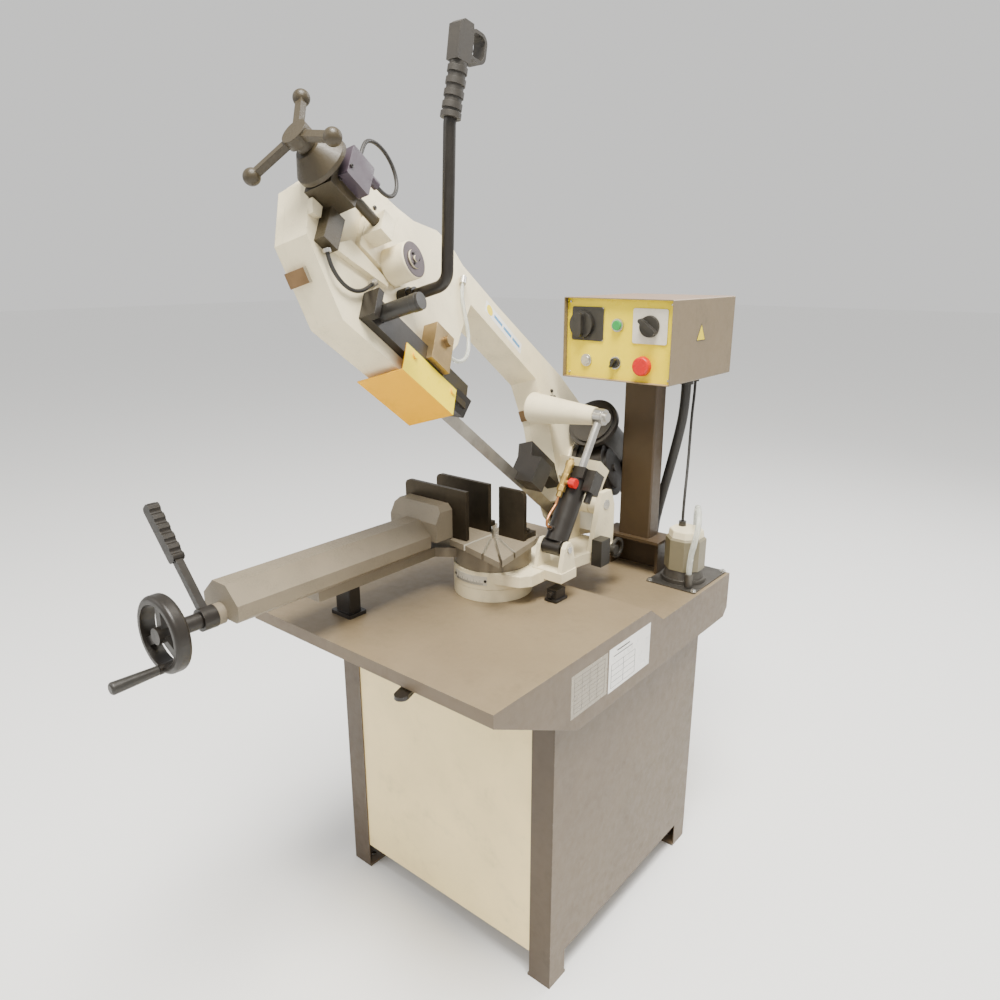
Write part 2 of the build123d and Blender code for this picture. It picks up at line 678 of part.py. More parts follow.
# ================================================================ SWIVEL HEAD
ARM_FLOOR = 838.0
BORE_R = 40.0
with BuildPart() as arm:
    with BuildSketch(Plane.XY.offset(BASE_RING_TOP + 0.5)):
        with Locations(TURN_CENTRE):
            Circle(RING_R)
    extrude(amount=RING_TOP - BASE_RING_TOP - 1)
    with BuildSketch(Plane.XY.offset(ARM_FLOOR)):
        with BuildLine():
            Polyline(
                (20, -190),
                (108, -162),
                (125, -138),
                (128, -36),
                (148, 100),
                (148, 165),
                (36, 165),
                (36, 80),
                (-40, -25),
                (-8, -111),
                close=True,
            )
        make_face()
    extrude(amount=RING_TOP - 0.5 - ARM_FLOOR)
    # shelf under the feed cylinder and its two lugs
    with Locations((134, LOWER_PIN[0] - 2, 855)):
        Box(80, 58, 22)
    for lug_x, lug_w in ((95, 10), (160, 12)):
        with BuildSketch(Plane.YZ.offset(lug_x)):
            with BuildLine():
                Polyline(
                    (LOWER_PIN[0] - 28, 862),
                    (LOWER_PIN[0] - 15, LOWER_PIN[1] + 5),
                    (LOWER_PIN[0] - 6, LOWER_PIN[1] + 16),
                    (LOWER_PIN[0] + 6, LOWER_PIN[1] + 16),
                    (LOWER_PIN[0] + 15, LOWER_PIN[1] + 5),
                    (LOWER_PIN[0] + 26, 862),
                    close=True,
                )
            make_face()
        extrude(amount=lug_w)
    # hinge lugs of the bow, the outer one a broad six-sided plate
    with BuildSketch(Plane.YZ.offset(130)):
        with BuildLine():
            Polyline(
                (66, 850),
                (92, 944),
                (108, 1000),
                (148, 1000),
                (165, 960),
                (165, 850),
                close=True,
            )
        make_face()
    extrude(amount=14)
    with BuildSketch(Plane.YZ.offset(108)):
        with Locations((PIVOT_Y, PIVOT_Z)):
            Circle(28)
    extrude(amount=23)
    with BuildSketch(Plane.YZ.offset(38)):
        with Locations((PIVOT_Y, PIVOT_Z)):
            Circle(28)
        with Locations((PIVOT_Y, (850 + PIVOT_Z) / 2)):
            Rectangle(50, PIVOT_Z - 850)
    extrude(amount=16)
    with Locations(Location((90, PIVOT_Y, PIVOT_Z), (0, 90, 0))):
        Cylinder(PIVOT_R, 140, mode=Mode.SUBTRACT)
    with Locations(Location((134, *LOWER_PIN), (0, 90, 0))):
        Cylinder(PIN_R, 90, mode=Mode.SUBTRACT)
    with Locations((TURN_X, TURN_Y, 850)):
        Cylinder(BORE_R + RUN, 80, mode=Mode.SUBTRACT)
    # bore of the index plunger
    with Locations(Location((140, 150, 851), (0, 90, 0))):
        Cylinder(5 + RUN, 30, mode=Mode.SUBTRACT)
finish(arm, "swivel_arm")

# Hinge shaft of the bow, lower pin of the feed cylinder and the switch box.
with BuildPart() as head_fittings:
    with BuildSketch(Plane.YZ.offset(37)):
        with Locations((PIVOT_Y, PIVOT_Z)):
            Circle(PIVOT_R)
    extrude(amount=109)
    with BuildSketch(Plane.YZ.offset(94)):
        with Locations(LOWER_PIN):
            Circle(PIN_R)
    extrude(amount=81)
    chamfer(head_fittings.edges().filter_by(GeomType.CIRCLE), 1)
    with Locations((161.5, 82, 866)):
        Box(27, 38, 64)
finish(head_fittings, "head_fittings")

with BuildPart() as index_knob:
    with BuildSketch(Plane.YZ.offset(127)):
        with Locations((150, 851)):
            Circle(5)
    extrude(amount=34)
    with BuildSketch(Plane.YZ.offset(149)):
        with Locations((150, 851)):
            Circle(12)
    extrude(amount=14)
    with BuildSketch(Plane.YZ.offset(152)):
        with Locations((166, 851)):
            Circle(25)
            Circle(19, mode=Mode.SUBTRACT)
    extrude(amount=7)
finish(index_knob, "index_plunger")

# ---------------------------------------------------------------- feed cylinder
ram_dy = UPPER_PIN[0] - LOWER_PIN[0]
ram_dz = UPPER_PIN[1] - LOWER_PIN[1]
RAM_LENGTH = hypot(ram_dy, ram_dz)
ram = Vector(0, ram_dy / RAM_LENGTH, ram_dz / RAM_LENGTH)
ram_side = Vector(0, -ram.Z, ram.Y)
ram_foot = Vector(CYLINDER_X, *LOWER_PIN)


def on_ram(along_ram, side, x=CYLINDER_X):
    """Point beside the feed cylinder: distance from its foot, to its front side, and x."""
    return Vector(x, *LOWER_PIN) + ram * along_ram + ram_side * side


BARREL_R = 26.0
BARREL_TOP = 185.0
PISTON_LOW = 141.0
ROD_R = 9.0
PORT = 33.0
PORT_X = 126.0
with BuildPart() as barrel:
    with BuildSketch(Plane.YZ.offset(CYLINDER_X - 24)):
        with Locations(LOWER_PIN):
            Circle(19)
    extrude(amount=48)
    with BuildSketch(facing(ram_foot + ram * 10, ram)):
        Circle(BARREL_R)
    extrude(amount=BARREL_TOP - 10)
    with BuildSketch(facing(ram_foot + ram * (BARREL_TOP - 26), ram)):
        Rectangle(2 * BARREL_R, 2 * BARREL_R)
    extrude(amount=26)
    # port of the feed pipe
    with BuildSketch(facing(on_ram(PORT, 15, PORT_X), ram_side)):
        Circle(7)
    extrude(amount=18)
    with BuildSketch(facing(ram_foot + ram * 28, ram)):
        Circle(BARREL_R - 4)
    extrude(amount=BARREL_TOP - 28 - 14, mode=Mode.SUBTRACT)
    with BuildSketch(facing(ram_foot + ram * 28, ram)):
        Circle(ROD_R + RUN)
    extrude(amount=BARREL_TOP, mode=Mode.SUBTRACT)
    with Locations(Location(ram_foot, (0, 90, 0))):
        Cylinder(PIN_R + RUN, 80, mode=Mode.SUBTRACT)
finish(barrel, "cylinder_barrel")

STACK_X = 122.0
STACK_SIDE = 36.0
with BuildPart() as feed_valve:
    for low, high, radius, corners in (
        (104, 118, 7, 6),
        (118, 130, 10, 6),
        (130, 152, 8.5, 0),
        (152, 158, 10, 6),
        (158, 160, 8, 0),
        (160, 178, 8.5, 0),
        (178, 189, 10, 6),
        (189, 196, 6, 0),
    ):
        with BuildSketch(facing(on_ram(low, STACK_SIDE, STACK_X), ram)):
            if corners:
                RegularPolygon(radius=radius, side_count=corners)
            else:
                Circle(radius)
        extrude(amount=high - low)
    with BuildSketch(facing(on_ram(170, BARREL_R, STACK_X), ram_side)):
        Circle(6)
    extrude(amount=STACK_SIDE - BARREL_R)
    with BuildSketch(Plane.YZ.offset(STACK_X)):
        with Locations((on_ram(141, STACK_SIDE).Y, on_ram(141, STACK_SIDE).Z)):
            Circle(5)
    extrude(amount=12)
    # block with the lowering switch on the other side of the barrel
    with BuildSketch(Plane.YZ.offset(CYLINDER_X + BARREL_R)):
        with Locations(Location((on_ram(160, -6).Y, on_ram(160, -6).Z), degrees(atan2(ram.Z, ram.Y)))):
            Rectangle(50, 40)
    extrude(amount=22)
    with BuildSketch(facing(on_ram(135, -8, CYLINDER_X + BARREL_R + 11), ram * -1)):
        Circle(8)
    extrude(amount=22)
    pipe_points = [
        on_ram(104, STACK_SIDE, STACK_X),
        on_ram(84, STACK_SIDE, STACK_X),
        on_ram(62, 46, 123),
        on_ram(44, 52, 125),
        on_ram(PORT, 48, PORT_X),
        on_ram(PORT, 33, PORT_X),
    ]
    with BuildLine():
        FilletPolyline(*pipe_points, radius=7)
    with BuildSketch(facing(pipe_points[0], pipe_points[1] - pipe_points[0])):
        Circle(3)
    sweep()
finish(feed_valve, "feed_valve")

with BuildPart() as flow_knob:
    with BuildSketch(Plane.YZ.offset(STACK_X + 12.3)):
        with Locations((on_ram(141, STACK_SIDE).Y, on_ram(141, STACK_SIDE).Z)):
            Circle(5)
    extrude(amount=6)
    with BuildSketch(Plane.YZ.offset(STACK_X + 18.3)):
        with Locations((on_ram(141, STACK_SIDE).Y, on_ram(141, STACK_SIDE).Z)):
            RegularPolygon(radius=11, side_count=10)
    extrude(amount=14)
finish(flow_knob, "flow_control_knob")

EYE_R = 19.0
EYE_BORE = 14.0            # roomy, so the eye can wander a little on its pin
with BuildPart() as rod:
    with BuildSketch(facing(ram_foot + ram * PISTON_LOW, ram)):
        Circle(ROD_R)
    extrude(amount=RAM_LENGTH - PISTON_LOW - 16)
    with BuildSketch(facing(ram_foot + ram * PISTON_LOW, ram)):
        Circle(BARREL_R - 4 - RUN)
    extrude(amount=10)
    with BuildSketch(Plane.YZ.offset(CYLINDER_X - 10)):
        with Locations(UPPER_PIN):
            Circle(EYE_R)
            Circle(EYE_BORE, mode=Mode.SUBTRACT)
    extrude(amount=20)
finish(rod, "cylinder_rod")

# ================================================================ SAW BOW
# Outline of the bow casting in the wheel plane, as (forward, up) pairs.
bow_outline = [
    (667, -35),
    (822, -38),
    (934, 50),
    (954, 150),
    (910, 238),
    (834, 268),
    (750, 281),
    (700, 294),
    (628, 334),
    (577, 341),
    (527, 326),
    (383, 328),
    (61, 345),
    (-60, 335),
    (-170, 300),
    (-245, 215),
    (-250, 110),
    (-205, 12),
    (-94, -22),
    (-26, -8),
    (48, 76),
    (105, 180),
    (182, 256),
    (481, 255),
    (500, 175),
    (507, 132),
    (523, 103),
    (560, 40),
    (600, 0),
]
FACE_PLATE = 18.0
IDLER = (IDLER_S, WHEEL_R)
DRIVE = (DRIVE_S, WHEEL_R)
HINGE_BOSS = (56.0, 106.0)     # x range of the bow's hinge boss
ram_s = (Vector(0, *UPPER_PIN) - Vector(0, blade_origin.Y, blade_origin.Z)).dot(forward)
ram_n = (Vector(0, *UPPER_PIN) - Vector(0, blade_origin.Y, blade_origin.Z)).dot(square)
SCREW_W = 156.0                # tension screw, in wheel-plane terms
SCREW_A = 76.0
with BuildPart() as casting:
    with BuildSketch(wheel_plane.offset(CASTING_BACK)):
        with BuildLine():
            Polyline(*bow_points(bow_outline), close=True)
        make_face()
    extrude(amount=CASTING_FACE - CASTING_BACK)
    # bracket that carries the hinge boss
    with BuildSketch(guide_plane.offset(-12)):
        with BuildLine():
            Polyline(*bow_points([(-15, 75), (-15, 130), (35, 130), (35, 75)]), close=True)
        make_face()
    extrude(amount=HINGE_BOSS[1] - TURN_X + 12)
    with BuildSketch(guide_plane.offset(HINGE_BOSS[0] - TURN_X)):
        with BuildLine():
            Polyline(*bow_points([(-15, 90), (35, 90), (27, BLADE_BELOW_PIVOT), (-27, BLADE_BELOW_PIVOT)]), close=True)
        make_face()
        with Locations((0, BLADE_BELOW_PIVOT)):
            Circle(28)
    extrude(amount=HINGE_BOSS[1] - HINGE_BOSS[0])
    # long tapered boss for the upper pin of the feed cylinder
    with BuildSketch(guide_plane.offset(-50)):
        with Locations((-ram_s, ram_n)):
            Circle(38)
    extrude(amount=121.5 - TURN_X + 50, taper=5.6)
    # rails of the tension slide and a small pad in front of them
    for rail in (
        [(878, 76), (851, 108), (746, 102), (744, 90), (874, 64)],
        [(843, 190), (802, 217), (762, 202), (760, 190)],
        [(948, 112), (924, 114), (922, 92), (940, 86)],
    ):
        with BuildSketch(wheel_plane.offset(CASTING_FACE - 2)):
            with BuildLine():
                Polyline(*bow_points(rail), close=True)
            make_face()
        extrude(amount=12)
    # gearbox seat
    with BuildSketch(wheel_plane.offset(CASTING_FACE - 4)):
        with Locations(*bow_points([DRIVE])):
            Circle(84)
    extrude(amount=10)
    # hollow for the wheels and the blade, open to the rear
    with BuildSketch(wheel_plane.offset(CASTING_BACK)):
        with BuildLine():
            Polyline(*bow_points(bow_outline), close=True)
        make_face()
        offset(amount=-CASTING_WALL, kind=Kind.INTERSECTION, mode=Mode.REPLACE)
    extrude(amount=CASTING_FACE - FACE_PLATE - CASTING_BACK, mode=Mode.SUBTRACT)
    # blade exits
    with BuildSketch(wheel_plane.offset(CASTING_BACK)):
        with Locations(*bow_points([(620, 0)])):
            Rectangle(90, 34)
        with Locations(*bow_points([(-10, 0)])):
            Rectangle(90, 34)
    extrude(amount=CASTING_FACE - FACE_PLATE - CASTING_BACK, mode=Mode.SUBTRACT)
    # slot for the idler axle and bore for the drive shaft
    with BuildSketch(wheel_plane):
        with Locations(*bow_points([(IDLER_S - 4, WHEEL_R)])):
            SlotOverall(40, 30)
        with Locations(*bow_points([DRIVE])):
            Circle(22)
    extrude(amount=60, mode=Mode.SUBTRACT)
    with Locations(Location((80, PIVOT_Y, PIVOT_Z), (0, 90, 0))):
        Cylinder(PIVOT_R + RUN, 90, mode=Mode.SUBTRACT)
    with Locations(Location((110, *UPPER_PIN), (0, 90, 0))):
        Cylinder(PIN_R + 0.5, 30, mode=Mode.SUBTRACT)
finish(casting, "bow_casting")

with BuildPart() as cover:
    with BuildSketch(wheel_plane.offset(COVER_BACK)):
        with BuildLine():
            Polyline(*bow_points(bow_outline), close=True)
        make_face()
    extrude(amount=CASTING_BACK - COVER_BACK)
    with BuildSketch(wheel_plane.offset(COVER_BACK + SHEET)):
        with BuildLine():
            Polyline(*bow_points(bow_outline), close=True)
        make_face()
        offset(amount=-SHEET, kind=Kind.INTERSECTION, mode=Mode.REPLACE)
    extrude(amount=CASTING_BACK - COVER_BACK, mode=Mode.SUBTRACT)
    with BuildSketch(wheel_plane.offset(COVER_BACK + SHEET)):
        with Locations(*bow_points([(620, 0)])):
            Rectangle(90, 34)
        with Locations(*bow_points([(-10, 0)])):
            Rectangle(90, 34)
    extrude(amount=CASTING_BACK - COVER_BACK, mode=Mode.SUBTRACT)
finish(cover, "blade_cover")

# ---------------------------------------------------------------- blade
TWIST = pi / 2 - tilt
TWIST_FRONT = (560.0, 712.0)
TWIST_REAR = (115.0, -60.0)


def blade_section(s, turn):
    """Plane across the lower run; local x lies along the blade's width, to the teeth."""
    width = wheel_axis * -cos(turn) - (square * cos(tilt) - across * sin(tilt)) * sin(turn)
    return Plane(origin=blade_origin + forward * s, x_dir=width, z_dir=forward)


with BuildPart() as blade:
    for flat_s, wheel_s in (TWIST_FRONT, TWIST_REAR):
        for step in range(9):
            share = step / 8
            with BuildSketch(blade_section(flat_s + (wheel_s - flat_s) * share, TWIST * (1 - share))):
                Rectangle(BLADE_WIDTH, BLADE_THICK)
        loft(ruled=True)
    with BuildSketch(blade_section(TWIST_REAR[0], TWIST)):
        Rectangle(BLADE_WIDTH, BLADE_THICK)
    extrude(amount=TWIST_FRONT[0] - TWIST_REAR[0])
    with BuildSketch(blade_section(TWIST_FRONT[1], 0)):
        Rectangle(BLADE_WIDTH, BLADE_THICK)
    extrude(amount=IDLER_S - TWIST_FRONT[1])
    with BuildSketch(blade_section(DRIVE_S, 0)):
        Rectangle(BLADE_WIDTH, BLADE_THICK)
    extrude(amount=TWIST_REAR[1] - DRIVE_S)
    # upper run and the half turns round the wheels
    with BuildSketch(wheel_plane.offset(-BLADE_WIDTH / 2)):
        with Locations(*bow_points([((IDLER_S + DRIVE_S) / 2, WHEEL_R)])):
            SlotOverall(WHEEL_SPACING + 2 * WHEEL_R + BLADE_THICK, 2 * WHEEL_R + BLADE_THICK)
            SlotOverall(
                WHEEL_SPACING + 2 * WHEEL_R - BLADE_THICK,
                2 * WHEEL_R - BLADE_THICK,
                mode=Mode.SUBTRACT,
            )
        with Locations(*bow_points([((IDLER_S + DRIVE_S) / 2, 0)])):
            Rectangle(WHEEL_SPACING, 20, mode=Mode.SUBTRACT)
    extrude(amount=BLADE_WIDTH)
finish(blade, "saw_blade")

# ---------------------------------------------------------------- wheels
RIM_R = WHEEL_R - BLADE_THICK / 2 - 0.1
AXLE_R = 14.0


def band_wheel(node, centre, bore, driven):
    """Band wheel: rim, web with lightening holes, hub and bore; the driven one has its shaft."""
    with BuildPart() as wheel:
        with BuildSketch(wheel_plane.offset(-13)):
            with Locations(*bow_points([centre])):
                Circle(RIM_R)
                Circle(RIM_R - 13, mode=Mode.SUBTRACT)
        extrude(amount=26)
        with BuildSketch(wheel_plane.offset(-5)):
            with Locations(*bow_points([centre])):
                Circle(RIM_R - 8)
                with PolarLocations(78, 5):
                    Circle(22, mode=Mode.SUBTRACT)
        extrude(amount=10)
        with BuildSketch(wheel_plane.offset(-16)):
            with Locations(*bow_points([centre])):
                Circle(30)
        extrude(amount=35)
        with BuildSketch(wheel_plane.offset(-16)):
            with Locations(*bow_points([centre])):
                Circle(bore)
        extrude(amount=35, mode=Mode.SUBTRACT)
        if driven:
            with BuildSketch(wheel_plane.offset(-20)):
                with Locations(*bow_points([centre])):
                    Circle(18)
            extrude(amount=4)
            with BuildSketch(wheel_plane.offset(-16)):
                with Locations(*bow_points([centre])):
                    Circle(AXLE_R)
            extrude(amount=86)
    finish(wheel, node)


band_wheel("idler_wheel", IDLER, AXLE_R + RUN, False)
band_wheel("drive_wheel", DRIVE, AXLE_R, True)

# carriage of the idler wheel, sliding between the rails on the face plate
with BuildPart() as carriage:
    with BuildSketch(wheel_plane.offset(CASTING_FACE + 0.2)):
        with Locations(*bow_points([(772, 149)])):
            RectangleRounded(120, 72, 5)
    extrude(amount=12)
    with BuildSketch(wheel_plane.offset(CASTING_FACE + 12)):
        with Locations(*bow_points([IDLER])):
            Circle(34)
    extrude(amount=50)
    with BuildSketch(wheel_plane.offset(CASTING_FACE + 12)):
        with Locations(*bow_points([(814, SCREW_W)])):
            Rectangle(32, 44)
    extrude(amount=40)
    with BuildSketch(wheel_plane.offset(-17)):
        with Locations(*bow_points([IDLER])):
            Circle(AXLE_R)
    extrude(amount=60 + 17)
    fillet(carriage.faces().sort_by(lambda f: f.center().dot(wheel_axis))[-1].outer_wire().edges(), 3)
    with BuildSketch(wheel_plane.offset(CASTING_FACE + 62)):
        with Locations(*bow_points([IDLER])):
            Circle(17)
    extrude(amount=3)
    with BuildSketch(wheel_plane.offset(CASTING_FACE + 65)):
        with Locations(*bow_points([IDLER])):
            Circle(6)
    extrude(amount=3)
    with BuildSketch(facing(bow_place(795, SCREW_W, SCREW_A), forward)):
        Circle(9 + RUN)
    extrude(amount=60, mode=Mode.SUBTRACT)
finish(carriage, "idler_carriage")

# ---------------------------------------------------------------- blade tension
with BuildPart() as housing:
    with BuildSketch(wheel_plane.offset(CASTING_FACE)):
        with Locations(*bow_points([(928, 158)])):
            Rectangle(60, 84)
    extrude(amount=56)
    with BuildSketch(wheel_plane.offset(CASTING_FACE)):
        with Locations(*bow_points([(900, 84)])):
            Rectangle(34, 66)
    extrude(amount=22)
    with BuildSketch(facing(bow_place(958, SCREW_W, SCREW_A), forward)):
        Circle(34)
    extrude(amount=6)
    with BuildSketch(facing(bow_place(964, SCREW_W, SCREW_A), forward)):
        Circle(47)
    extrude(amount=8)
    with BuildSketch(facing(bow_place(972, SCREW_W, SCREW_A), forward)):
        Circle(47)
    extrude(amount=28, taper=40)
    with BuildSketch(facing(bow_place(880, SCREW_W, SCREW_A), forward)):
        Circle(9 + RUN)
    extrude(amount=140, mode=Mode.SUBTRACT)
    # limit switch that stops the saw when the blade slackens
    with BuildSketch(wheel_plane.offset(CASTING_FACE + 56)):
        with Locations(*bow_points([(920, 168)])):
            RectangleRounded(54, 62, 3)
    extrude(amount=20)
    with BuildSketch(facing(bow_place(894, 184, CASTING_FACE + 66), forward * -1)):
        Circle(8)
    extrude(amount=22)
finish(housing, "tension_housing")

HANDLE_S = 1014.0
with BuildPart() as tension:
    with BuildSketch(facing(bow_place(806, SCREW_W, SCREW_A), forward)):
        Circle(9)
    extrude(amount=HANDLE_S - 806 + 16)
    with BuildSketch(facing(bow_place(1000.5, SCREW_W, SCREW_A), forward)):
        Circle(16)
    extrude(amount=HANDLE_S - 1000.5)
    handle_plane = Plane(origin=bow_place(HANDLE_S, SCREW_W, SCREW_A), x_dir=wheel_axis, z_dir=forward)
    with BuildSketch(handle_plane):
        Circle(23)
    extrude(amount=18)
    with BuildSketch(handle_plane.offset(3)):
        for arm_turn in (-150, -30, 100):
            with Locations(Location((48 * cos(radians(arm_turn)), 48 * sin(radians(arm_turn))), arm_turn)):
                Rectangle(88, 13)
    extrude(amount=12)
    for arm_turn in (-150, -30, 100):
        ball = Location((96 * cos(radians(arm_turn)), 96 * sin(radians(arm_turn)), 9))
        with Locations(handle_plane.location * ball):
            Sphere(14)
finish(tension, "tension_handle")

# ---------------------------------------------------------------- drive
WORM_W = 218.0
WORM_A = 112.0
with BuildPart() as gearbox:
    with BuildSketch(wheel_plane.offset(CASTING_FACE + 6)):
        with Locations(*bow_points([DRIVE])):
            Circle(77)
    extrude(amount=12)
    with BuildSketch(wheel_plane.offset(CASTING_FACE + 18)):
        with Locations(*bow_points([DRIVE])):
            Circle(70)
    extrude(amount=67)
    with BuildSketch(wheel_plane.offset(CASTING_FACE + 85)):
        with Locations(*bow_points([DRIVE])):
            Circle(52)
    extrude(amount=6)
    # worm tube, with a round cap facing the operator
    with BuildSketch(facing(bow_place(-160, WORM_W, WORM_A), forward)):
        Circle(45)
    extrude(amount=150)
    with BuildSketch(facing(bow_place(-10, WORM_W, WORM_A), forward)):
        Circle(66)
    extrude(amount=14)
    with BuildSketch(facing(bow_place(4, WORM_W, WORM_A), forward)):
        Circle(56)
    extrude(amount=5)
    with BuildSketch(wheel_plane.offset(30)):
        with Locations(*bow_points([DRIVE])):
            Circle(AXLE_R + RUN)
    extrude(amount=44, mode=Mode.SUBTRACT)
    # oil sight plug
    with BuildSketch(wheel_plane.offset(CASTING_FACE + 91)):
        with Locations(*bow_points([DRIVE])):
            Circle(10)
    extrude(amount=5)
finish(gearbox, "gearbox")

MOTOR_R = 66.0
with BuildPart() as motor:
    with BuildSketch(facing(bow_place(-172, WORM_W, WORM_A), forward)):
        Circle(60)
    extrude(amount=12)
    with BuildSketch(facing(bow_place(-172, WORM_W, WORM_A), forward * -1)):
        Circle(MOTOR_R - 3)
        with PolarLocations(MOTOR_R - 3, 28):
            Rectangle(8, 3)
    extrude(amount=112)
    with BuildSketch(facing(bow_place(-284, WORM_W, WORM_A), forward * -1)):
        Circle(MOTOR_R)
    extrude(amount=36)
    fillet(motor.faces().sort_by(lambda f: f.center().dot(forward))[0].outer_wire().edges(), 10)
finish(motor, "drive_motor")

# ---------------------------------------------------------------- blade guides
BLADE_SLOT = BLADE_THICK / 2 + 0.15
with BuildPart() as rear_guide:
    with BuildSketch(guide_plane.offset(-17)):
        with BuildLine():
            Polyline(*bow_points([(117, -5), (117, 60), (172, 60), (172, -5)]), close=True)
        make_face()
    extrude(amount=65)
    with BuildSketch(wheel_plane.offset(2)):
        with BuildLine():
            Polyline(*bow_points([(172, 42), (172, 88), (54.6, 88), (48, 76), (18.05, 42)]), close=True)
        make_face()
    extrude(amount=36)
    with Locations(guide_plane.location * Location((-144, 4.5, 0))):
        Box(80, 21, 2 * BLADE_SLOT, mode=Mode.SUBTRACT)
finish(rear_guide, "rear_guide")

BAR_LOW = -10.0
BAR_HIGH = 45.0
BAR_NEAR = 478.0
BAR_FAR = 788.0
lock_spot = (754.0, 20.0)
with BuildPart() as guide_arm:
    with BuildSketch(wheel_plane.offset(CASTING_FACE + 0.3)):
        with BuildLine():
            Polyline(
                *bow_points([(BAR_NEAR, BAR_LOW), (BAR_NEAR, BAR_HIGH), (BAR_FAR, BAR_HIGH), (BAR_FAR, BAR_LOW)]),
                close=True,
            )
        make_face()
    extrude(amount=17)
    with BuildSketch(wheel_plane.offset(CASTING_FACE + 0.3)):
        with Locations(*bow_points([(782, 17.5)])):
            Rectangle(14, 55)
    extrude(amount=34)
    # guide block around the blade
    with BuildSketch(guide_plane.offset(-24)):
        with BuildLine():
            Polyline(*bow_points([(466, -4), (466, 36), (514, 36), (514, -4)]), close=True)
        make_face()
    extrude(amount=76)
    with Locations(guide_plane.location * Location((-490, 5, 0))):
        Box(60, 22, 2 * BLADE_SLOT, mode=Mode.SUBTRACT)
    with BuildSketch(wheel_plane.offset(CASTING_FACE + 8)):
        with Locations(*bow_points([lock_spot])):
            Circle(6 + RUN)
    extrude(amount=20, mode=Mode.SUBTRACT)
finish(guide_arm, "guide_arm")

# folded guard over the free length of the blade
with BuildPart() as guard:
    with BuildSketch(wheel_plane.offset(CASTING_FACE + 17.3)):
        with BuildLine():
            Polyline(*bow_points([(517, -48), (517, 10), (680, 10), (680, -48)]), close=True)
        make_face()
    extrude(amount=2)
    with BuildSketch(wheel_plane.offset(-45)):
        with BuildLine():
            Polyline(*bow_points([(517, -48), (517, -46), (680, -46), (680, -48)]), close=True)
        make_face()
    extrude(amount=CASTING_FACE + 17.3 + 45)
    with BuildSketch(wheel_plane.offset(CASTING_FACE + 19.3)):
        with Locations(*bow_points([(530, -2), (655, -2)])):
            Circle(6)
    extrude(amount=4)
finish(guard, "blade_guard")

with BuildPart() as clamp:
    with BuildSketch(wheel_plane.offset(CASTING_FACE)):
        with BuildLine():
            Polyline(*bow_points([(562, 46), (562, 98), (620, 98), (620, 46)]), close=True)
        make_face()
    extrude(amount=17.8)
    with BuildSketch(wheel_plane.offset(CASTING_FACE + 17.6)):
        with BuildLine():
            Polyline(*bow_points([(562, 16), (562, 98), (620, 98), (620, 16)]), close=True)
        make_face()
    extrude(amount=14)
    with BuildSketch(wheel_plane.offset(CASTING_FACE + 31.6)):
        with Locations(*bow_points([(584, 76)])):
            Circle(11)
    extrude(amount=9)
finish(clamp, "guide_clamp")

# locking handle of the guide arm: a threaded spindle with a long black grip
with BuildPart() as guide_lock:
    with BuildSketch(wheel_plane.offset(CASTING_FACE + 8)):
        with Locations(*bow_points([lock_spot])):
            Circle(6)
    extrude(amount=20)
    with BuildSketch(wheel_plane.offset(CASTING_FACE + 17.6)):
        with Locations(*bow_points([lock_spot])):
            Circle(15)
    extrude(amount=84)
    with BuildSketch(wheel_plane.offset(CASTING_FACE + 84)):
        with Locations(*bow_points([lock_spot])):
            Circle(16)
            Circle(13, mode=Mode.SUBTRACT)
    extrude(amount=12)
finish(guide_lock, "guide_arm_lock")

# ---------------------------------------------------------------- control handle
collar = bow_place(692, 106, CASTING_FACE)
elbow = collar + wheel_axis * 100
TUBE_R = 11.0
tube_direction = Vector(0.03, 0.02, 1).normalized()
grip_direction = Vector(0.06, 0.19, 0.98).normalized()
knee = elbow + tube_direction * 262
with BuildPart() as handle_tube:
    with BuildLine():
        FilletPolyline(collar, elbow, knee, knee + grip_direction * 80, radius=30)
    with BuildSketch(facing(collar, wheel_axis)):
        Circle(TUBE_R)
    sweep()
    with BuildSketch(facing(collar, wheel_axis)):
        Circle(18)
    extrude(amount=20)
    with BuildSketch(facing(collar + wheel_axis * 20, wheel_axis)):
        Circle(15)
    extrude(amount=12)
finish(handle_tube, "handle_tube")

grip_foot = knee + grip_direction * 8
grip_side = grip_direction.cross(across).normalized()
grip_plane = Plane(origin=grip_foot, x_dir=grip_side, z_dir=grip_direction)
HEAD_FOOT = 88.0           # where the ridged grip ends and its head begins
side_plane = Plane(origin=grip_foot + grip_direction * HEAD_FOOT, x_dir=grip_side, z_dir=across)
with BuildPart() as grip:
    with BuildSketch(grip_plane):
        Circle(18)
    extrude(amount=9)
    with BuildSketch(grip_plane.offset(9)):
        Ellipse(16, 14)
    extrude(amount=HEAD_FOOT - 9)
    for ridge in range(4):
        with BuildSketch(grip_plane.offset(14 + ridge * 19)):
            Ellipse(18.5, 16)
        extrude(amount=10)
    # head with the loop that guards the trigger
    with BuildSketch(side_plane.offset(-13)):
        with Locations((30, 34)):
            RectangleRounded(44, 50, 16)
            RectangleRounded(32, 38, 10, mode=Mode.SUBTRACT)
        with BuildLine():
            Polyline((-17, 0), (-18, 56), (-8, 64), (14, 64), (17, 52), (17, 0), close=True)
        make_face()
    extrude(amount=26)
    with BuildSketch(side_plane.offset(-5)):
        with Locations((16, 47)):
            Rectangle(20, 24)
    extrude(amount=10, mode=Mode.SUBTRACT)
    with BuildSketch(grip_plane.offset(-10)):
        Circle(TUBE_R)
    extrude(amount=10 + 72, mode=Mode.SUBTRACT)
finish(grip, "handle_grip")

with BuildPart() as trigger:
    with BuildSketch(side_plane.offset(-4.5)):
        with Locations((12, 51)):
            Circle(5)
        with BuildLine():
            Polyline((12, 56), (21, 53), (28, 26), (23, 23), (16, 45), close=True)
        make_face()
    extrude(amount=9)
finish(trigger, "grip_trigger")

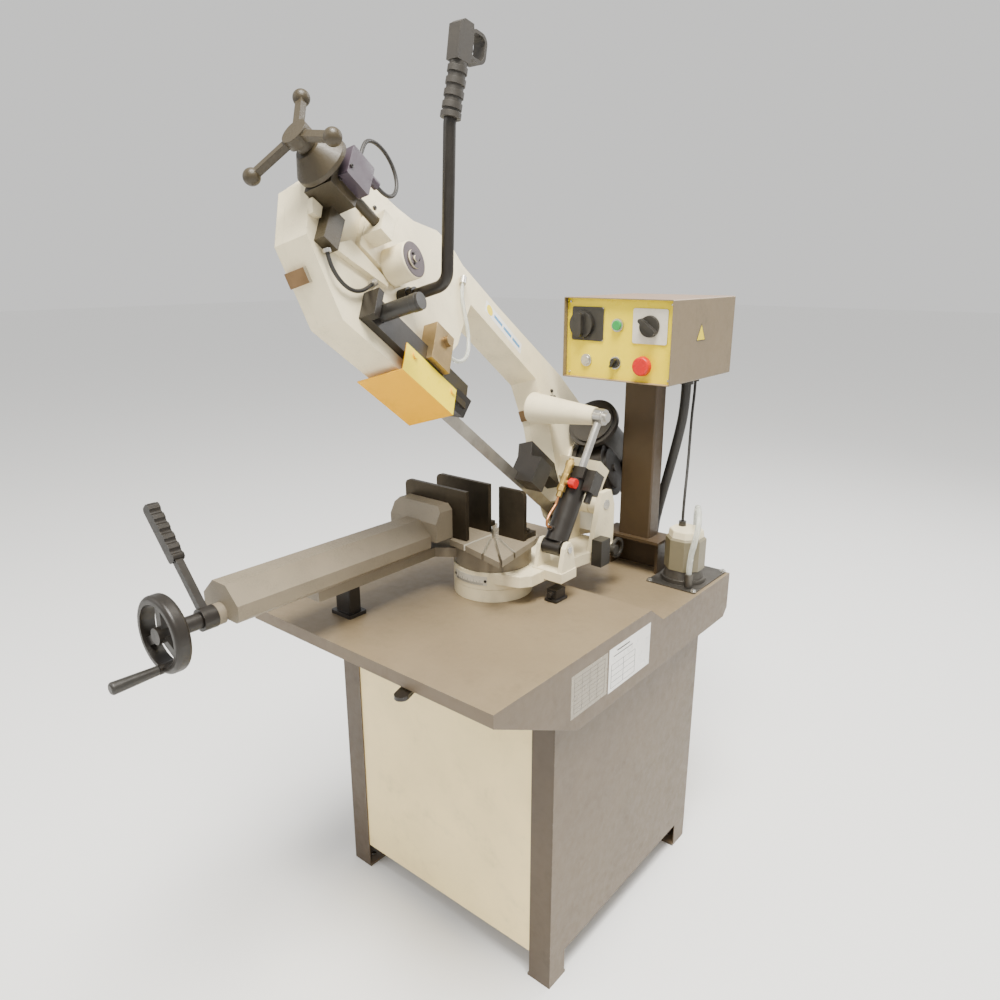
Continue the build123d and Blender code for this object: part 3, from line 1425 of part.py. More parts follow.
# ================================================================ CABLES AND HOSES
def cable(node, radius, points):
    """Tube of straight runs and wide arcs through hand-placed points."""
    stops = [Vector(point) for point in points]
    bends = []
    for before, corner, after in zip(stops, stops[1:], stops[2:]):
        turn = radians((corner - before).get_angle(after - corner))
        bends.append(0.45 * min((corner - before).length, (after - corner).length) / tan(turn / 2))
    with BuildPart() as tube:
        with BuildLine() as route:
            FilletPolyline(*stops, radius=bends)
        with BuildSketch(facing(stops[0], stops[1] - stops[0])):
            Circle(radius)
        sweep()
    length = sum(edge.length for edge in route.edges())
    share = tube.part.volume / (pi * radius**2 * length)
    print(node, "length", round(length), "radii", [round(bend) for bend in bends], "volume", round(share, 4))
    finish(tube, node)


PUMP_GLAND = (PUMP_X - 18, PUMP_Y + 12, PUMP_TOP + 30)
BOX_GLAND = (206.0, 430.0, BOX_Z0 - 14)
CONDUIT_TOP = (212.0, 368.0, BOX_Z0 - 14)
CONDUIT_FOOT = (146.0, 366.0, TRAY_LOW + 14)
HOSE_FOOT = (252.0, 398.0, TRAY_LOW + SHEET + 12)
with BuildPart() as glands:
    for spot, radius, low, high in (
        (BOX_GLAND, 9, BOX_Z0 - 14, BOX_Z0),
        (CONDUIT_TOP, 17, BOX_Z0 - 14, BOX_Z0),
        (CONDUIT_FOOT, 17, TRAY_LOW, TRAY_LOW + 14),
        (HOSE_FOOT, 11, TRAY_LOW + SHEET, TRAY_LOW + SHEET + 12),
    ):
        with BuildSketch(Plane.XY.offset(low)):
            with Locations(spot[:2]):
                Circle(radius)
        extrude(amount=high - low)
finish(glands, "cable_glands")

cable(
    "pump_cable",
    3.5,
    [
        PUMP_GLAND,
        (248, 325, 930),
        (242, 340, 972),
        (229, 372, 1024),
        (216, 401, 1086),
        (207, 421, 1152),
        (206, 430, 1202),
        BOX_GLAND,
    ],
)
cable(
    "control_conduit",
    12,
    [
        CONDUIT_TOP,
        (212, 368, 1170),
        (200, 364, 1092),
        (182, 362, 1004),
        (162, 363, 920),
        (146, 366, 842),
        CONDUIT_FOOT,
    ],
)
cable(
    "pump_hose",
    7,
    [
        (304, 263, 788),
        (304, 263, 830),
        (312, 266, 872),
        (313, 280, 912),
        (297, 308, 940),
        (276, 344, 938),
        (260, 376, 908),
        (253, 393, 868),
        (252, 398, 818),
        HOSE_FOOT,
    ],
)

HOSE_START = (528.0, 272.0, CASTING_FACE + 7)
WIRE_START = (894.0, 41.0, CASTING_FACE + 11)
WIRE_END = (784.0, 63.0, CASTING_FACE + 9)
# Cable and hose ends, the cover straps and the upper pin of the feed cylinder.
with BuildPart() as bow_fittings:
    ends = (
        (HOSE_START, (528, 290, HOSE_START[2]), 18),
        (WIRE_START, (904, 55, WIRE_START[2]), 6),
        (WIRE_END, (772, 84, WIRE_END[2]), 14),
    )
    for start, towards, length in ends:
        with BuildSketch(facing(bow_place(*start), bow_place(*towards) - bow_place(*start))):
            Circle(7)
        extrude(amount=length)
    for near, far, share in (((822, -38), (934, 50), 0.6), ((105, 180), (182, 256), 0.25)):
        run = (far[0] - near[0], far[1] - near[1])
        out = (run[1] / hypot(*run), -run[0] / hypot(*run))
        centre = (near[0] + run[0] * share + out[0] * 4, near[1] + run[1] * share + out[1] * 4)
        with BuildSketch(wheel_plane.offset(COVER_BACK + 2)):
            with Locations(Location(bow_points([centre])[0], -degrees(atan2(run[1], run[0])))):
                Rectangle(26, 8)
        extrude(amount=42)
    for low, high, radius in ((96, 146, PIN_R + 0.5), (142.5, 146.5, 18), (146.5, 154, 11)):
        with BuildSketch(Plane.YZ.offset(low)):
            with Locations(UPPER_PIN):
                Circle(radius)
        extrude(amount=high - low)
finish(bow_fittings, "bow_fittings")

cable(
    "coolant_hose",
    4,
    [
        bow_place(*HOSE_START),
        bow_place(528, 250, 47),
        bow_place(517, 222, 48),
        bow_place(500, 192, 49),
        bow_place(487, 160, 50),
        bow_place(483, 128, 51),
        bow_place(492, 100, 51),
        bow_place(512, 82, 50),
        bow_place(536, 76, 49),
        bow_place(562, 76, 49),
    ],
)
cable(
    "tension_wire",
    3.5,
    [
        bow_place(*WIRE_START),
        bow_place(884, 27, 51),
        bow_place(864, 16, 51),
        bow_place(840, 14, 50),
        bow_place(816, 23, 49),
        bow_place(796, 42, 49),
        bow_place(*WIRE_END),
    ],
)
cable(
    "switch_wire",
    3.5,
    [
        bow_place(872, 184, CASTING_FACE + 66),
        bow_place(850, 184, 106),
        bow_place(830, 200, 106),
        bow_place(824, 228, 106),
        bow_place(838, 254, 106),
        bow_place(864, 268, 106),
        bow_place(892, 266, 106),
        bow_place(914, 250, 106),
        bow_place(920, 225, 106),
        bow_place(920, 199, 106),
    ],
)
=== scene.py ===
"""Looks of a mitre band saw on its stand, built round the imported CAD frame.

Everything is in metres in the CAD's frame: origin on the floor between the anchor
bolts, +Z up, +Y to the rear. Points of the raised bow are given in millimetres
along it, across it and along the axis of its band wheels.
"""
import json
from math import cos, hypot, radians, sin, tau

import bmesh
import bpy
from mathutils import Matrix, Vector
from mathutils.bvhtree import BVHTree


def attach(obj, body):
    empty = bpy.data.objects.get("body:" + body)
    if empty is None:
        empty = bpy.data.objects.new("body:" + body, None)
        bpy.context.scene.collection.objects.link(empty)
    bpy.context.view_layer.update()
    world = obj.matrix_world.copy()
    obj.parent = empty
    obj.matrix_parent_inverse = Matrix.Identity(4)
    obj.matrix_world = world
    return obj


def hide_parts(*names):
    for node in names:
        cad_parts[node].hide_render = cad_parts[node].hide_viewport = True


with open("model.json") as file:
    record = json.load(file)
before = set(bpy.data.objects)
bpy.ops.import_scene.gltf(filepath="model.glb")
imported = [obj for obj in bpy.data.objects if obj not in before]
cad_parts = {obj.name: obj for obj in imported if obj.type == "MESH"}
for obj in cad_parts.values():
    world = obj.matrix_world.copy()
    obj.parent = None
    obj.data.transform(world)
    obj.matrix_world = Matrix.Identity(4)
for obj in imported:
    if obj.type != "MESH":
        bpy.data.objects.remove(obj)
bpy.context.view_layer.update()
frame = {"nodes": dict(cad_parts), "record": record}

RIGHT = Vector((1, 0, 0))
REARWARD = Vector((0, 1, 0))
UP = Vector((0, 0, 1))


def new_object(name, data):
    """Object of the scene that shows the data."""
    item = bpy.data.objects.new(name, data)
    bpy.context.scene.collection.objects.link(item)
    return item


# ---------------------------------------------------------------- camera
CAMERA_PLACE = Vector((1.0759, -1.4089, 1.5113))
CAMERA_AZIMUTH = radians(39.34)
CAMERA_PITCH = radians(16.66)
CAMERA_LENS = 28.13         # millimetres
CAMERA_SENSOR = 36.0        # width in millimetres


def make_camera():
    """Camera at eye height in front and to the right of the saw."""
    data = bpy.data.cameras.new("camera")
    data.lens = CAMERA_LENS
    data.sensor_width = CAMERA_SENSOR
    camera = new_object("camera", data)
    back = Vector(
        (
            sin(CAMERA_AZIMUTH) * cos(CAMERA_PITCH),
            -cos(CAMERA_AZIMUTH) * cos(CAMERA_PITCH),
            sin(CAMERA_PITCH),
        )
    )
    camera.location = CAMERA_PLACE
    camera.rotation_euler = (-back).to_track_quat("-Z", "Y").to_euler()
    bpy.context.scene.camera = camera


make_camera()

# ---------------------------------------------------------------- bow frame
LEAN = radians(38)          # rise of the raised bow
TILT = radians(21)          # turn of the band wheels about the bow's length
BLADE_ORIGIN = Vector((-0.008, 0.104728, 0.937213))
ALONG = Vector((0, -cos(LEAN), sin(LEAN)))
SQUARE = Vector((0, sin(LEAN), cos(LEAN)))
WHEEL_AXIS = RIGHT * cos(TILT) + SQUARE * sin(TILT)
ACROSS = SQUARE * cos(TILT) - RIGHT * sin(TILT)
MILLIMETRE = 0.001


def bow_place(s, w, a):
    """Point of the bow: s along it, w across it, a along the wheel axis, in millimetres."""
    return BLADE_ORIGIN + (ALONG * s + ACROSS * w + WHEEL_AXIS * a) * MILLIMETRE


def bow_route(*spots):
    """Points of the bow for several (s, w, a) spots."""
    return [bow_place(*spot) for spot in spots]


def bow_share(place):
    """Distances of a point along the bow, across it and along the wheel axis, in metres."""
    away = place - BLADE_ORIGIN
    return away.dot(ALONG), away.dot(ACROSS), away.dot(WHEEL_AXIS)


# ---------------------------------------------------------------- material nodes
BEVEL_SAMPLES = 4


def new_material(name, **sockets):
    """Principled material with its constants set on the shader's own sockets."""
    paint = bpy.data.materials.new(name)
    paint.use_nodes = True
    shader = paint.node_tree.nodes["Principled BSDF"]
    for socket, value in sockets.items():
        shader.inputs[socket.replace("_", " ")].default_value = value
    return paint, paint.node_tree, shader


def coordinates(tree, stretch=(1, 1, 1)):
    """Object coordinates in metres, stretched for a grain with a direction."""
    place = tree.nodes.new("ShaderNodeTexCoord").outputs["Object"]
    mapping = tree.nodes.new("ShaderNodeMapping")
    mapping.inputs["Scale"].default_value = stretch
    tree.links.new(place, mapping.inputs["Vector"])
    return mapping.outputs["Vector"]


def noise(tree, place, scale, detail=4.0, roughness=0.55):
    """Fractal noise value with that many features per metre."""
    node = tree.nodes.new("ShaderNodeTexNoise")
    node.inputs["Scale"].default_value = scale
    node.inputs["Detail"].default_value = detail
    node.inputs["Roughness"].default_value = roughness
    tree.links.new(place, node.inputs["Vector"])
    return node.outputs["Fac"]


def cells(tree, place, scale):
    """Distance to the nearest of many scattered points."""
    node = tree.nodes.new("ShaderNodeTexVoronoi")
    node.inputs["Scale"].default_value = scale
    tree.links.new(place, node.inputs["Vector"])
    return node.outputs["Distance"]


def ramp(tree, value, low, high, start=0.0, end=1.0):
    """Value carried from low..high to start..end."""
    node = tree.nodes.new("ShaderNodeMapRange")
    node.inputs["From Min"].default_value = low
    node.inputs["From Max"].default_value = high
    node.inputs["To Min"].default_value = start
    node.inputs["To Max"].default_value = end
    tree.links.new(value, node.inputs["Value"])
    return node.outputs["Result"]


def mix(tree, factor, first, second):
    """Colour between first and second; each is a colour or a socket."""
    node = tree.nodes.new("ShaderNodeMix")
    node.data_type = "RGBA"
    tree.links.new(factor, node.inputs["Factor"])
    for value, socket in ((first, node.inputs["A"]), (second, node.inputs["B"])):
        if isinstance(value, bpy.types.NodeSocket):
            tree.links.new(value, socket)
        else:
            socket.default_value = (*value, 1.0)
    return node.outputs["Result"]


def times(tree, first, second):
    """Product of two values."""
    node = tree.nodes.new("ShaderNodeMath")
    node.operation = "MULTIPLY"
    tree.links.new(first, node.inputs[0])
    tree.links.new(second, node.inputs[1])
    return node.outputs["Value"]


def rounded_normal(tree, radius):
    """Normal that a bevel of that radius turns at the edges."""
    bevel = tree.nodes.new("ShaderNodeBevel")
    bevel.samples = BEVEL_SAMPLES
    bevel.inputs["Radius"].default_value = radius
    return bevel.outputs["Normal"]


def worn_edges(tree, radius):
    """Mask that is 1 along outer edges, from how far a bevel turns the normal."""
    rounded = rounded_normal(tree, radius)
    flat = tree.nodes.new("ShaderNodeNewGeometry")
    dot = tree.nodes.new("ShaderNodeVectorMath")
    dot.operation = "DOT_PRODUCT"
    tree.links.new(rounded, dot.inputs[0])
    tree.links.new(flat.outputs["Normal"], dot.inputs[1])
    return ramp(tree, dot.outputs["Value"], 0.98, 0.88)


def bump(tree, shader, height, distance, round_edges=0.0008):
    """Bump of that depth in metres over softly rounded edges."""
    rounded = rounded_normal(tree, round_edges)
    node = tree.nodes.new("ShaderNodeBump")
    node.inputs["Distance"].default_value = distance
    node.inputs["Strength"].default_value = 1.0
    tree.links.new(height, node.inputs["Height"])
    tree.links.new(rounded, node.inputs["Normal"])
    tree.links.new(node.outputs["Normal"], shader.inputs["Normal"])


def shade(colour, factor):
    """The colour made lighter or darker."""
    return tuple(min(1.0, part * factor) for part in colour)


def patchy(tree, place, mask, scale, low, high):
    """The mask, kept only in patches of a broader noise."""
    return times(tree, mask, ramp(tree, noise(tree, place, scale, 3), low, high))


def finish(tree, shader, colour, value, low, high):
    """Joins the colour, and a roughness that runs from low to high with the value."""
    tree.links.new(colour, shader.inputs["Base Color"])
    tree.links.new(ramp(tree, value, 0, 1, low, high), shader.inputs["Roughness"])


def painted(name, colour, rough, texture=900, depth=0.00006, wear=(0.30, 0.28, 0.25)):
    """Stoved or brushed paint: mottled colour, orange-peel bump, grime and chipped edges."""
    paint, tree, shader = new_material(name, Specular_IOR_Level=0.45)
    place = coordinates(tree)
    broad = ramp(tree, noise(tree, place, 6, 5), 0.3, 0.7)
    fine = ramp(tree, noise(tree, place, 55, 6, 0.65), 0.35, 0.75)
    mottled = mix(tree, broad, shade(colour, 0.93), shade(colour, 1.05))
    dirty = mix(tree, patchy(tree, place, fine, 14, 0.5, 0.8), mottled, shade(colour, 0.75))
    chipped = ramp(tree, noise(tree, place, 140, 5), 0.52, 0.7)
    chips = times(tree, worn_edges(tree, 0.0012), chipped)
    finish(tree, shader, mix(tree, chips, dirty, wear), fine, rough - 0.07, rough + 0.1)
    bump(tree, shader, noise(tree, place, texture, 2), depth)
    return paint


def cast_painted(name, colour, rough):
    """Paint over a sand casting: coarse pebbled bump, dust in the hollows."""
    paint, tree, shader = new_material(name, Specular_IOR_Level=0.4)
    place = coordinates(tree)
    broad = ramp(tree, noise(tree, place, 9, 5), 0.3, 0.7)
    pits = ramp(tree, noise(tree, place, 260, 5, 0.6), 0.35, 0.7)
    mottled = mix(tree, broad, shade(colour, 0.90), shade(colour, 1.04))
    dusty = mix(tree, patchy(tree, place, pits, 22, 0.45, 0.8), mottled, shade(colour, 0.72))
    chipped = ramp(tree, noise(tree, place, 120, 5), 0.55, 0.68)
    chips = times(tree, worn_edges(tree, 0.0018), chipped)
    bare = shade(colour, 0.42)
    finish(tree, shader, mix(tree, chips, dusty, bare), pits, rough - 0.06, rough + 0.14)
    bump(tree, shader, noise(tree, place, 420, 4, 0.6), 0.00028, round_edges=0.0016)
    return paint


def metal(name, colour, rough, stretch=(1, 1, 1), depth=0.00003):
    """Bare metal with machining grain, stains and brighter rubbed edges."""
    bare, tree, shader = new_material(name, Metallic=0.9)
    place = coordinates(tree)
    lines = noise(tree, coordinates(tree, stretch), 700, 3, 0.7)
    stained = ramp(tree, noise(tree, place, 30, 5, 0.6), 0.4, 0.75)
    body = mix(tree, stained, colour, shade(colour, 0.7))
    bright = mix(tree, worn_edges(tree, 0.0008), body, shade(colour, 1.35))
    tree.links.new(bright, shader.inputs["Base Color"])
    dulled = ramp(tree, lines, 0.2, 0.8, rough - 0.08, rough + 0.14)
    tree.links.new(dulled, shader.inputs["Roughness"])
    bump(tree, shader, lines, depth, round_edges=0.0005)
    return bare


def moulded(name, colour, rough, pebble=1500, depth=0.00008, dust=1.5):
    """Moulded plastic or rubber: fine pebble, rubbed edges and a little dust."""
    plastic, tree, shader = new_material(name, Specular_IOR_Level=0.5)
    place = coordinates(tree)
    patches = ramp(tree, noise(tree, place, 40, 5, 0.6), 0.35, 0.75)
    body = mix(tree, patches, colour, shade(colour, dust))
    rubbed = mix(tree, worn_edges(tree, 0.0009), body, shade(colour, 1.9))
    finish(tree, shader, rubbed, patches, rough - 0.05, rough + 0.12)
    bump(tree, shader, cells(tree, place, pebble), depth, round_edges=0.0006)
    return plastic


def milky(name, colour, stain):
    """Thin milky hose, clouded by the coolant inside."""
    hose, tree, shader = new_material(name, Transmission_Weight=0.55, IOR=1.4, Alpha=0.9)
    place = coordinates(tree)
    clouds = ramp(tree, noise(tree, place, 60, 5), 0.35, 0.7)
    finish(tree, shader, mix(tree, clouds, colour, stain), clouds, 0.12, 0.3)
    bump(tree, shader, noise(tree, place, 300, 3), 0.00005, round_edges=0.0003)
    return hose


# look: (maker, its values); the first nineteen are the record's own slots
LOOKS = {
    "grey_paint": (painted, dict(colour=(0.200, 0.152, 0.090), rough=0.42)),
    "cream_paint": (painted, dict(colour=(0.90, 0.72, 0.36), rough=0.38, wear=(0.35, 0.30, 0.2))),
    "white_paint": (cast_painted, dict(colour=(0.84, 0.74, 0.50), rough=0.38)),
    "vise_paint": (cast_painted, dict(colour=(0.205, 0.170, 0.118), rough=0.45)),
    "black_paint": (
        painted,
        dict(
            colour=(0.014, 0.011, 0.008),
            rough=0.40,
            texture=500,
            depth=0.00012,
            wear=(0.16, 0.14, 0.12),
        ),
    ),
    "olive_paint": (
        painted, dict(colour=(0.20, 0.172, 0.105), rough=0.40, texture=600, depth=0.00008),
    ),
    "ground_steel": (metal, dict(colour=(0.55, 0.53, 0.49), rough=0.26, stretch=(1, 1, 12))),
    "blade_steel": (metal, dict(colour=(0.40, 0.37, 0.32), rough=0.34, stretch=(1, 12, 12))),
    "cast_metal": (metal, dict(colour=(0.13, 0.12, 0.105), rough=0.45, depth=0.0001)),
    "brass_parts": (metal, dict(colour=(0.62, 0.42, 0.13), rough=0.28, stretch=(1, 1, 8))),
    "bronze_parts": (metal, dict(colour=(0.36, 0.26, 0.13), rough=0.42, depth=0.0001)),
    "button_metal": (metal, dict(colour=(0.62, 0.61, 0.57), rough=0.2)),
    "black_plastic": (moulded, dict(colour=(0.020, 0.018, 0.015), rough=0.38)),
    "grip_rubber": (
        moulded, dict(colour=(0.028, 0.024, 0.019), rough=0.55, pebble=900, depth=0.00015),
    ),
    "cable_rubber": (moulded, dict(colour=(0.018, 0.016, 0.014), rough=0.5, pebble=1200)),
    "red_plastic": (moulded, dict(colour=(0.60, 0.008, 0.006), rough=0.28, dust=0.8)),
    "clear_hose": (milky, dict(colour=(0.86, 0.87, 0.80), stain=(0.70, 0.72, 0.64))),
    "yellow_panel": (painted, dict(colour=(0.90, 0.70, 0.0), rough=0.33, wear=(0.4, 0.36, 0.2))),
    # painted shade: this orange is the yellow blade guard darkened, for its faces that turn away
    # from the light on the right
    "guard_orange": (painted, dict(colour=(0.95, 0.47, 0.0), rough=0.36, wear=(0.35, 0.25, 0.08))),
    # painted shade: the cabinet grey darkened for the drip tray's upright walls and the cabinet
    # sides, which face away from the overhead light
    "side_paint": (painted, dict(colour=(0.130, 0.094, 0.056), rough=0.45)),
    # deeper painted shade of the same grey, for the cabinet faces that turn to front and back and
    # for the control column
    "leg_paint": (painted, dict(colour=(0.060, 0.038, 0.018), rough=0.42)),
    "jaw_steel": (
        metal, dict(colour=(0.060, 0.048, 0.032), rough=0.42, stretch=(1, 1, 6), depth=0.00008),
    ),
    "dark_olive": (cast_painted, dict(colour=(0.050, 0.038, 0.020), rough=0.40)),
    "copper_pipe": (metal, dict(colour=(0.55, 0.24, 0.10), rough=0.3)),
    "green_lens": (moulded, dict(colour=(0.02, 0.28, 0.06), rough=0.12, dust=1.1)),
    "pale_plate": (painted, dict(colour=(0.66, 0.62, 0.52), rough=0.3, wear=(0.4, 0.37, 0.3))),
    "grey_plate": (painted, dict(colour=(0.33, 0.29, 0.22), rough=0.3)),
    "white_plate": (painted, dict(colour=(0.86, 0.84, 0.80), rough=0.32)),
    "ink": (painted, dict(colour=(0.035, 0.03, 0.028), rough=0.5)),
    "hood_brown": (painted, dict(colour=(0.30, 0.205, 0.14), rough=0.40)),
    "strap_bronze": (metal, dict(colour=(0.24, 0.15, 0.075), rough=0.4, depth=0.0001)),
    "cap_steel": (metal, dict(colour=(0.075, 0.058, 0.060), rough=0.35)),
    "switch_purple": (moulded, dict(colour=(0.050, 0.036, 0.048), rough=0.4, dust=1.2)),
    "blue_film": (painted, dict(colour=(0.10, 0.30, 0.55), rough=0.25)),
}
MATERIALS = {name: make(name, **values) for name, (make, values) in LOOKS.items()}

# CAD nodes whose look is not that of their record slot
NODE_LOOKS = {
    "fixed_jaw_left": "jaw_steel",
    "fixed_jaw_right": "jaw_steel",
    "moving_jaw": "jaw_steel",
    "tension_housing": "dark_olive",
    "tension_handle": "dark_olive",
    # the control column and the cabinet sides take shaded copies of the cabinet grey: painted
    # shade
    "control_column": "leg_paint",
    "cabinet_sides": "side_paint",
}


def finish_nodes():
    """Gives each CAD node the material of its record slot, or its own."""
    for part in frame["record"]["subparts"]:
        node = frame["nodes"][part["node"]]
        paint = MATERIALS[NODE_LOOKS.get(part["node"], part["material_slot"])]
        node.data.materials.clear()
        node.data.materials.append(paint)


finish_nodes()

# ---------------------------------------------------------------- cords
CORD_STEPS = 16         # steps between two points of the route
CORD_ROUNDNESS = 6


def make_cord(name, points, radius, body, paint):
    """Cord on one smooth spline that stands for its CAD tube."""
    curve = bpy.data.curves.new(name, "CURVE")
    curve.dimensions = "3D"
    spline = curve.splines.new("NURBS")
    spline.points.add(len(points) - 1)
    for point, place in zip(spline.points, points):
        point.co = (*place, 1.0)
    spline.order_u = 3
    spline.use_endpoint_u = True
    curve.resolution_u = CORD_STEPS
    curve.bevel_depth = radius
    curve.bevel_resolution = CORD_ROUNDNESS
    curve.use_fill_caps = True
    curve.materials.append(MATERIALS[paint])
    cord = new_object(name + "_line", curve)
    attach(cord, body)
    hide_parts(name)


make_cord(
    "pump_cable",
    [
        (0.248, 0.325, 0.898),
        (0.248, 0.325, 0.930),
        (0.242, 0.340, 0.972),
        (0.229, 0.372, 1.024),
        (0.216, 0.401, 1.086),
        (0.207, 0.421, 1.152),
        (0.206, 0.430, 1.202),
        (0.206, 0.430, 1.234),
    ],
    radius=0.0035, body="base",
    paint="cable_rubber",
)
make_cord(
    "control_conduit",
    [
        (0.212, 0.368, 1.234),
        (0.212, 0.368, 1.170),
        (0.200, 0.364, 1.092),
        (0.182, 0.362, 1.004),
        (0.162, 0.363, 0.920),
        (0.146, 0.366, 0.842),
        (0.146, 0.366, 0.765),
    ],
    radius=0.012, body="base",
    paint="cable_rubber",
)
make_cord(
    "pump_hose",
    [
        (0.304, 0.263, 0.788),
        (0.304, 0.263, 0.830),
        (0.312, 0.266, 0.872),
        (0.313, 0.280, 0.912),
        (0.297, 0.308, 0.940),
        (0.276, 0.344, 0.938),
        (0.260, 0.376, 0.908),
        (0.253, 0.393, 0.868),
        (0.252, 0.398, 0.818),
        (0.252, 0.398, 0.766),
    ],
    radius=0.007, body="base",
    paint="clear_hose",
)
make_cord(
    "coolant_hose",
    bow_route(
        (528, 272, 47),
        (528, 250, 47),
        (517, 222, 48),
        (500, 192, 49),
        (487, 160, 50),
        (483, 128, 51),
        (492, 100, 51),
        (512, 82, 50),
        (536, 76, 49),
        (562, 76, 49),
    ),
    radius=0.004, body="bow",
    paint="clear_hose",
)
make_cord(
    "tension_wire",
    bow_route(
        (894, 41, 51),
        (884, 27, 51),
        (864, 16, 51),
        (840, 14, 50),
        (816, 23, 49),
        (796, 42, 49),
        (784, 63, 49),
    ),
    radius=0.0035, body="bow",
    paint="cable_rubber",
)
make_cord(
    "switch_wire",
    bow_route(
        (872, 184, 106),
        (850, 184, 106),
        (830, 200, 106),
        (824, 228, 106),
        (838, 254, 106),
        (864, 268, 106),
        (892, 266, 106),
        (914, 250, 106),
        (920, 225, 106),
        (920, 199, 106),
    ),
    radius=0.0035, body="bow",
    paint="cable_rubber",
)

# ---------------------------------------------------------------- mesh helpers
SURFACES = {}           # search tree of each CAD node that a ray has been sent to
RAY_REACH = 0.5


def body_of(node):
    """Body that a CAD node belongs to."""
    bodies = frame["record"]["behaviour"]["bodies"]
    return next(body for body, members in bodies.items() if node in members)


def seat(node, start, direction):
    """Point and outward normal where a ray from start first meets a CAD node."""
    if node not in SURFACES:
        mesh = frame["nodes"][node].data
        corners = [vertex.co for vertex in mesh.vertices]
        SURFACES[node] = BVHTree.FromPolygons(corners, [face.vertices for face in mesh.polygons])
    place, normal, _, _ = SURFACES[node].ray_cast(Vector(start), direction, RAY_REACH)
    if place is None:
        raise ValueError(f"no surface of {node} in front of {tuple(start)}")
    if normal.dot(direction) > 0:
        normal = -normal
    return place, normal


def upright(place, normal, turn=0.0):
    """Matrix with its z along the normal, turned about it."""
    spin = normal.to_track_quat("Z", "Y").to_matrix().to_4x4()
    return Matrix.Translation(place) @ spin @ Matrix.Rotation(turn, 4, "Z")


def facing(place, side, normal):
    """Matrix with its x along the side and its z along the normal."""
    axes = Matrix((side, normal.cross(side), normal)).transposed()
    return Matrix.Translation(place) @ axes.to_4x4()


def lathe(bm, profile, sides, matrix):
    """Closed turned shape from (radius, height) pairs; both ends are capped."""
    rays = [Vector((cos(tau * i / sides), sin(tau * i / sides), 0)) for i in range(sides)]
    rings = [
        [bm.verts.new(matrix @ (ray * radius + UP * height)) for ray in rays]
        for radius, height in profile
    ]
    for lower, upper in zip(rings, rings[1:]):
        for i in range(sides):
            far = (i + 1) % sides
            bm.faces.new((lower[i], lower[far], upper[far], upper[i]))
    bm.faces.new(rings[0][::-1])
    bm.faces.new(rings[-1])


BOX_FACES = ((3, 2, 1, 0), (4, 5, 6, 7), (0, 1, 5, 4), (1, 2, 6, 5), (2, 3, 7, 6), (3, 0, 4, 7))


def slab(bm, matrix, low, high):
    """Box between two corners of the matrix's own frame."""
    corners = [
        bm.verts.new(matrix @ Vector((x, y, z)))
        for z in (low[2], high[2])
        for x, y in ((low[0], low[1]), (high[0], low[1]), (high[0], high[1]), (low[0], high[1]))
    ]
    for face in BOX_FACES:
        bm.faces.new([corners[i] for i in face])


def mesh_object(name, bm, material):
    """Object of the scene made from the bmesh, in one material."""
    mesh = bpy.data.meshes.new(name)
    bm.to_mesh(mesh)
    bm.free()
    mesh.materials.append(material)
    return new_object(name, mesh)


def add_piece(name, bm, body, paint):
    """Piece of the finished mesh that rides on a body."""
    bmesh.ops.recalc_face_normals(bm, faces=bm.faces)
    piece = mesh_object(name, bm, MATERIALS[paint])
    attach(piece, body)


# ---------------------------------------------------------------- screws
SCREW_SUNK = 0.0006     # how far a screw sits into the surface under it
SCREW_TURN = 0.4        # turn from one screw of a row to the next, in radians
SOCKET_SIDES = 24
WASHER_THICK = 0.0016
WASHER_SPREAD = 1.45    # washer's radius over the head's
WASHER_SIDES = 28


def socket_head(radius, foot):
    """Profile of a socket screw's head, down into its socket."""
    height = radius * 1.1
    top = foot + height
    return (
        (radius, foot),
        (radius, foot + height * 0.85),
        (radius * 0.88, top),
        (radius * 0.52, top),
        (radius * 0.5, foot + height * 0.5),
    )


def hexagon_head(radius, foot):
    """Profile of a hexagon screw's head."""
    height = radius * 0.75
    return (radius, foot), (radius, foot + height * 0.8), (radius * 0.86, foot + height)


def screw_row(name, node, starts, direction, radius, paint="black_paint", socket=False):
    """Screws where rays meet a CAD node: socket heads, or hexagons on washers."""
    bm = bmesh.new()
    for number, start in enumerate(starts):
        place, normal = seat(node, start, direction)
        matrix = upright(place, normal, SCREW_TURN * number)
        if socket:
            lathe(bm, socket_head(radius, -SCREW_SUNK), SOCKET_SIDES, matrix)
        else:
            spread = radius * WASHER_SPREAD
            foot = WASHER_THICK - SCREW_SUNK
            lathe(bm, ((spread, -SCREW_SUNK), (spread, foot)), WASHER_SIDES, matrix)
            lathe(bm, hexagon_head(radius, foot), 6, matrix)
    add_piece(name, bm, body_of(node), paint)


# ---------------------------------------------------------------- mitre scale
SWIVEL_AXIS = Vector((-0.008, -0.111, 0))
RING_R = 0.091          # outside of the swivel ring
STRIP_R = RING_R - 0.0002
STRIP_THICK = 0.0010
STRIP_STEPS = 40
SCALE_LOW = 0.834
SCALE_HIGH = 0.855
SCALE_START = -119      # degrees from +X
SCALE_END = -59
MARK_R = RING_R + 0.0006
MARK_THICK = 0.0005
MARK_HALF_WIDTH = 0.13  # degrees
MARK_MARGIN = 6         # degrees from the strip's end to the first mark
MARK_GAP = 0.001        # from the strip's lower edge to the marks
MARKS = 49
FIRST_TEN = 4           # number of the first mark that stands for a whole ten


def swivel_ray(angle):
    """Level direction at an angle in degrees."""
    return Vector((cos(radians(angle)), sin(radians(angle)), 0))


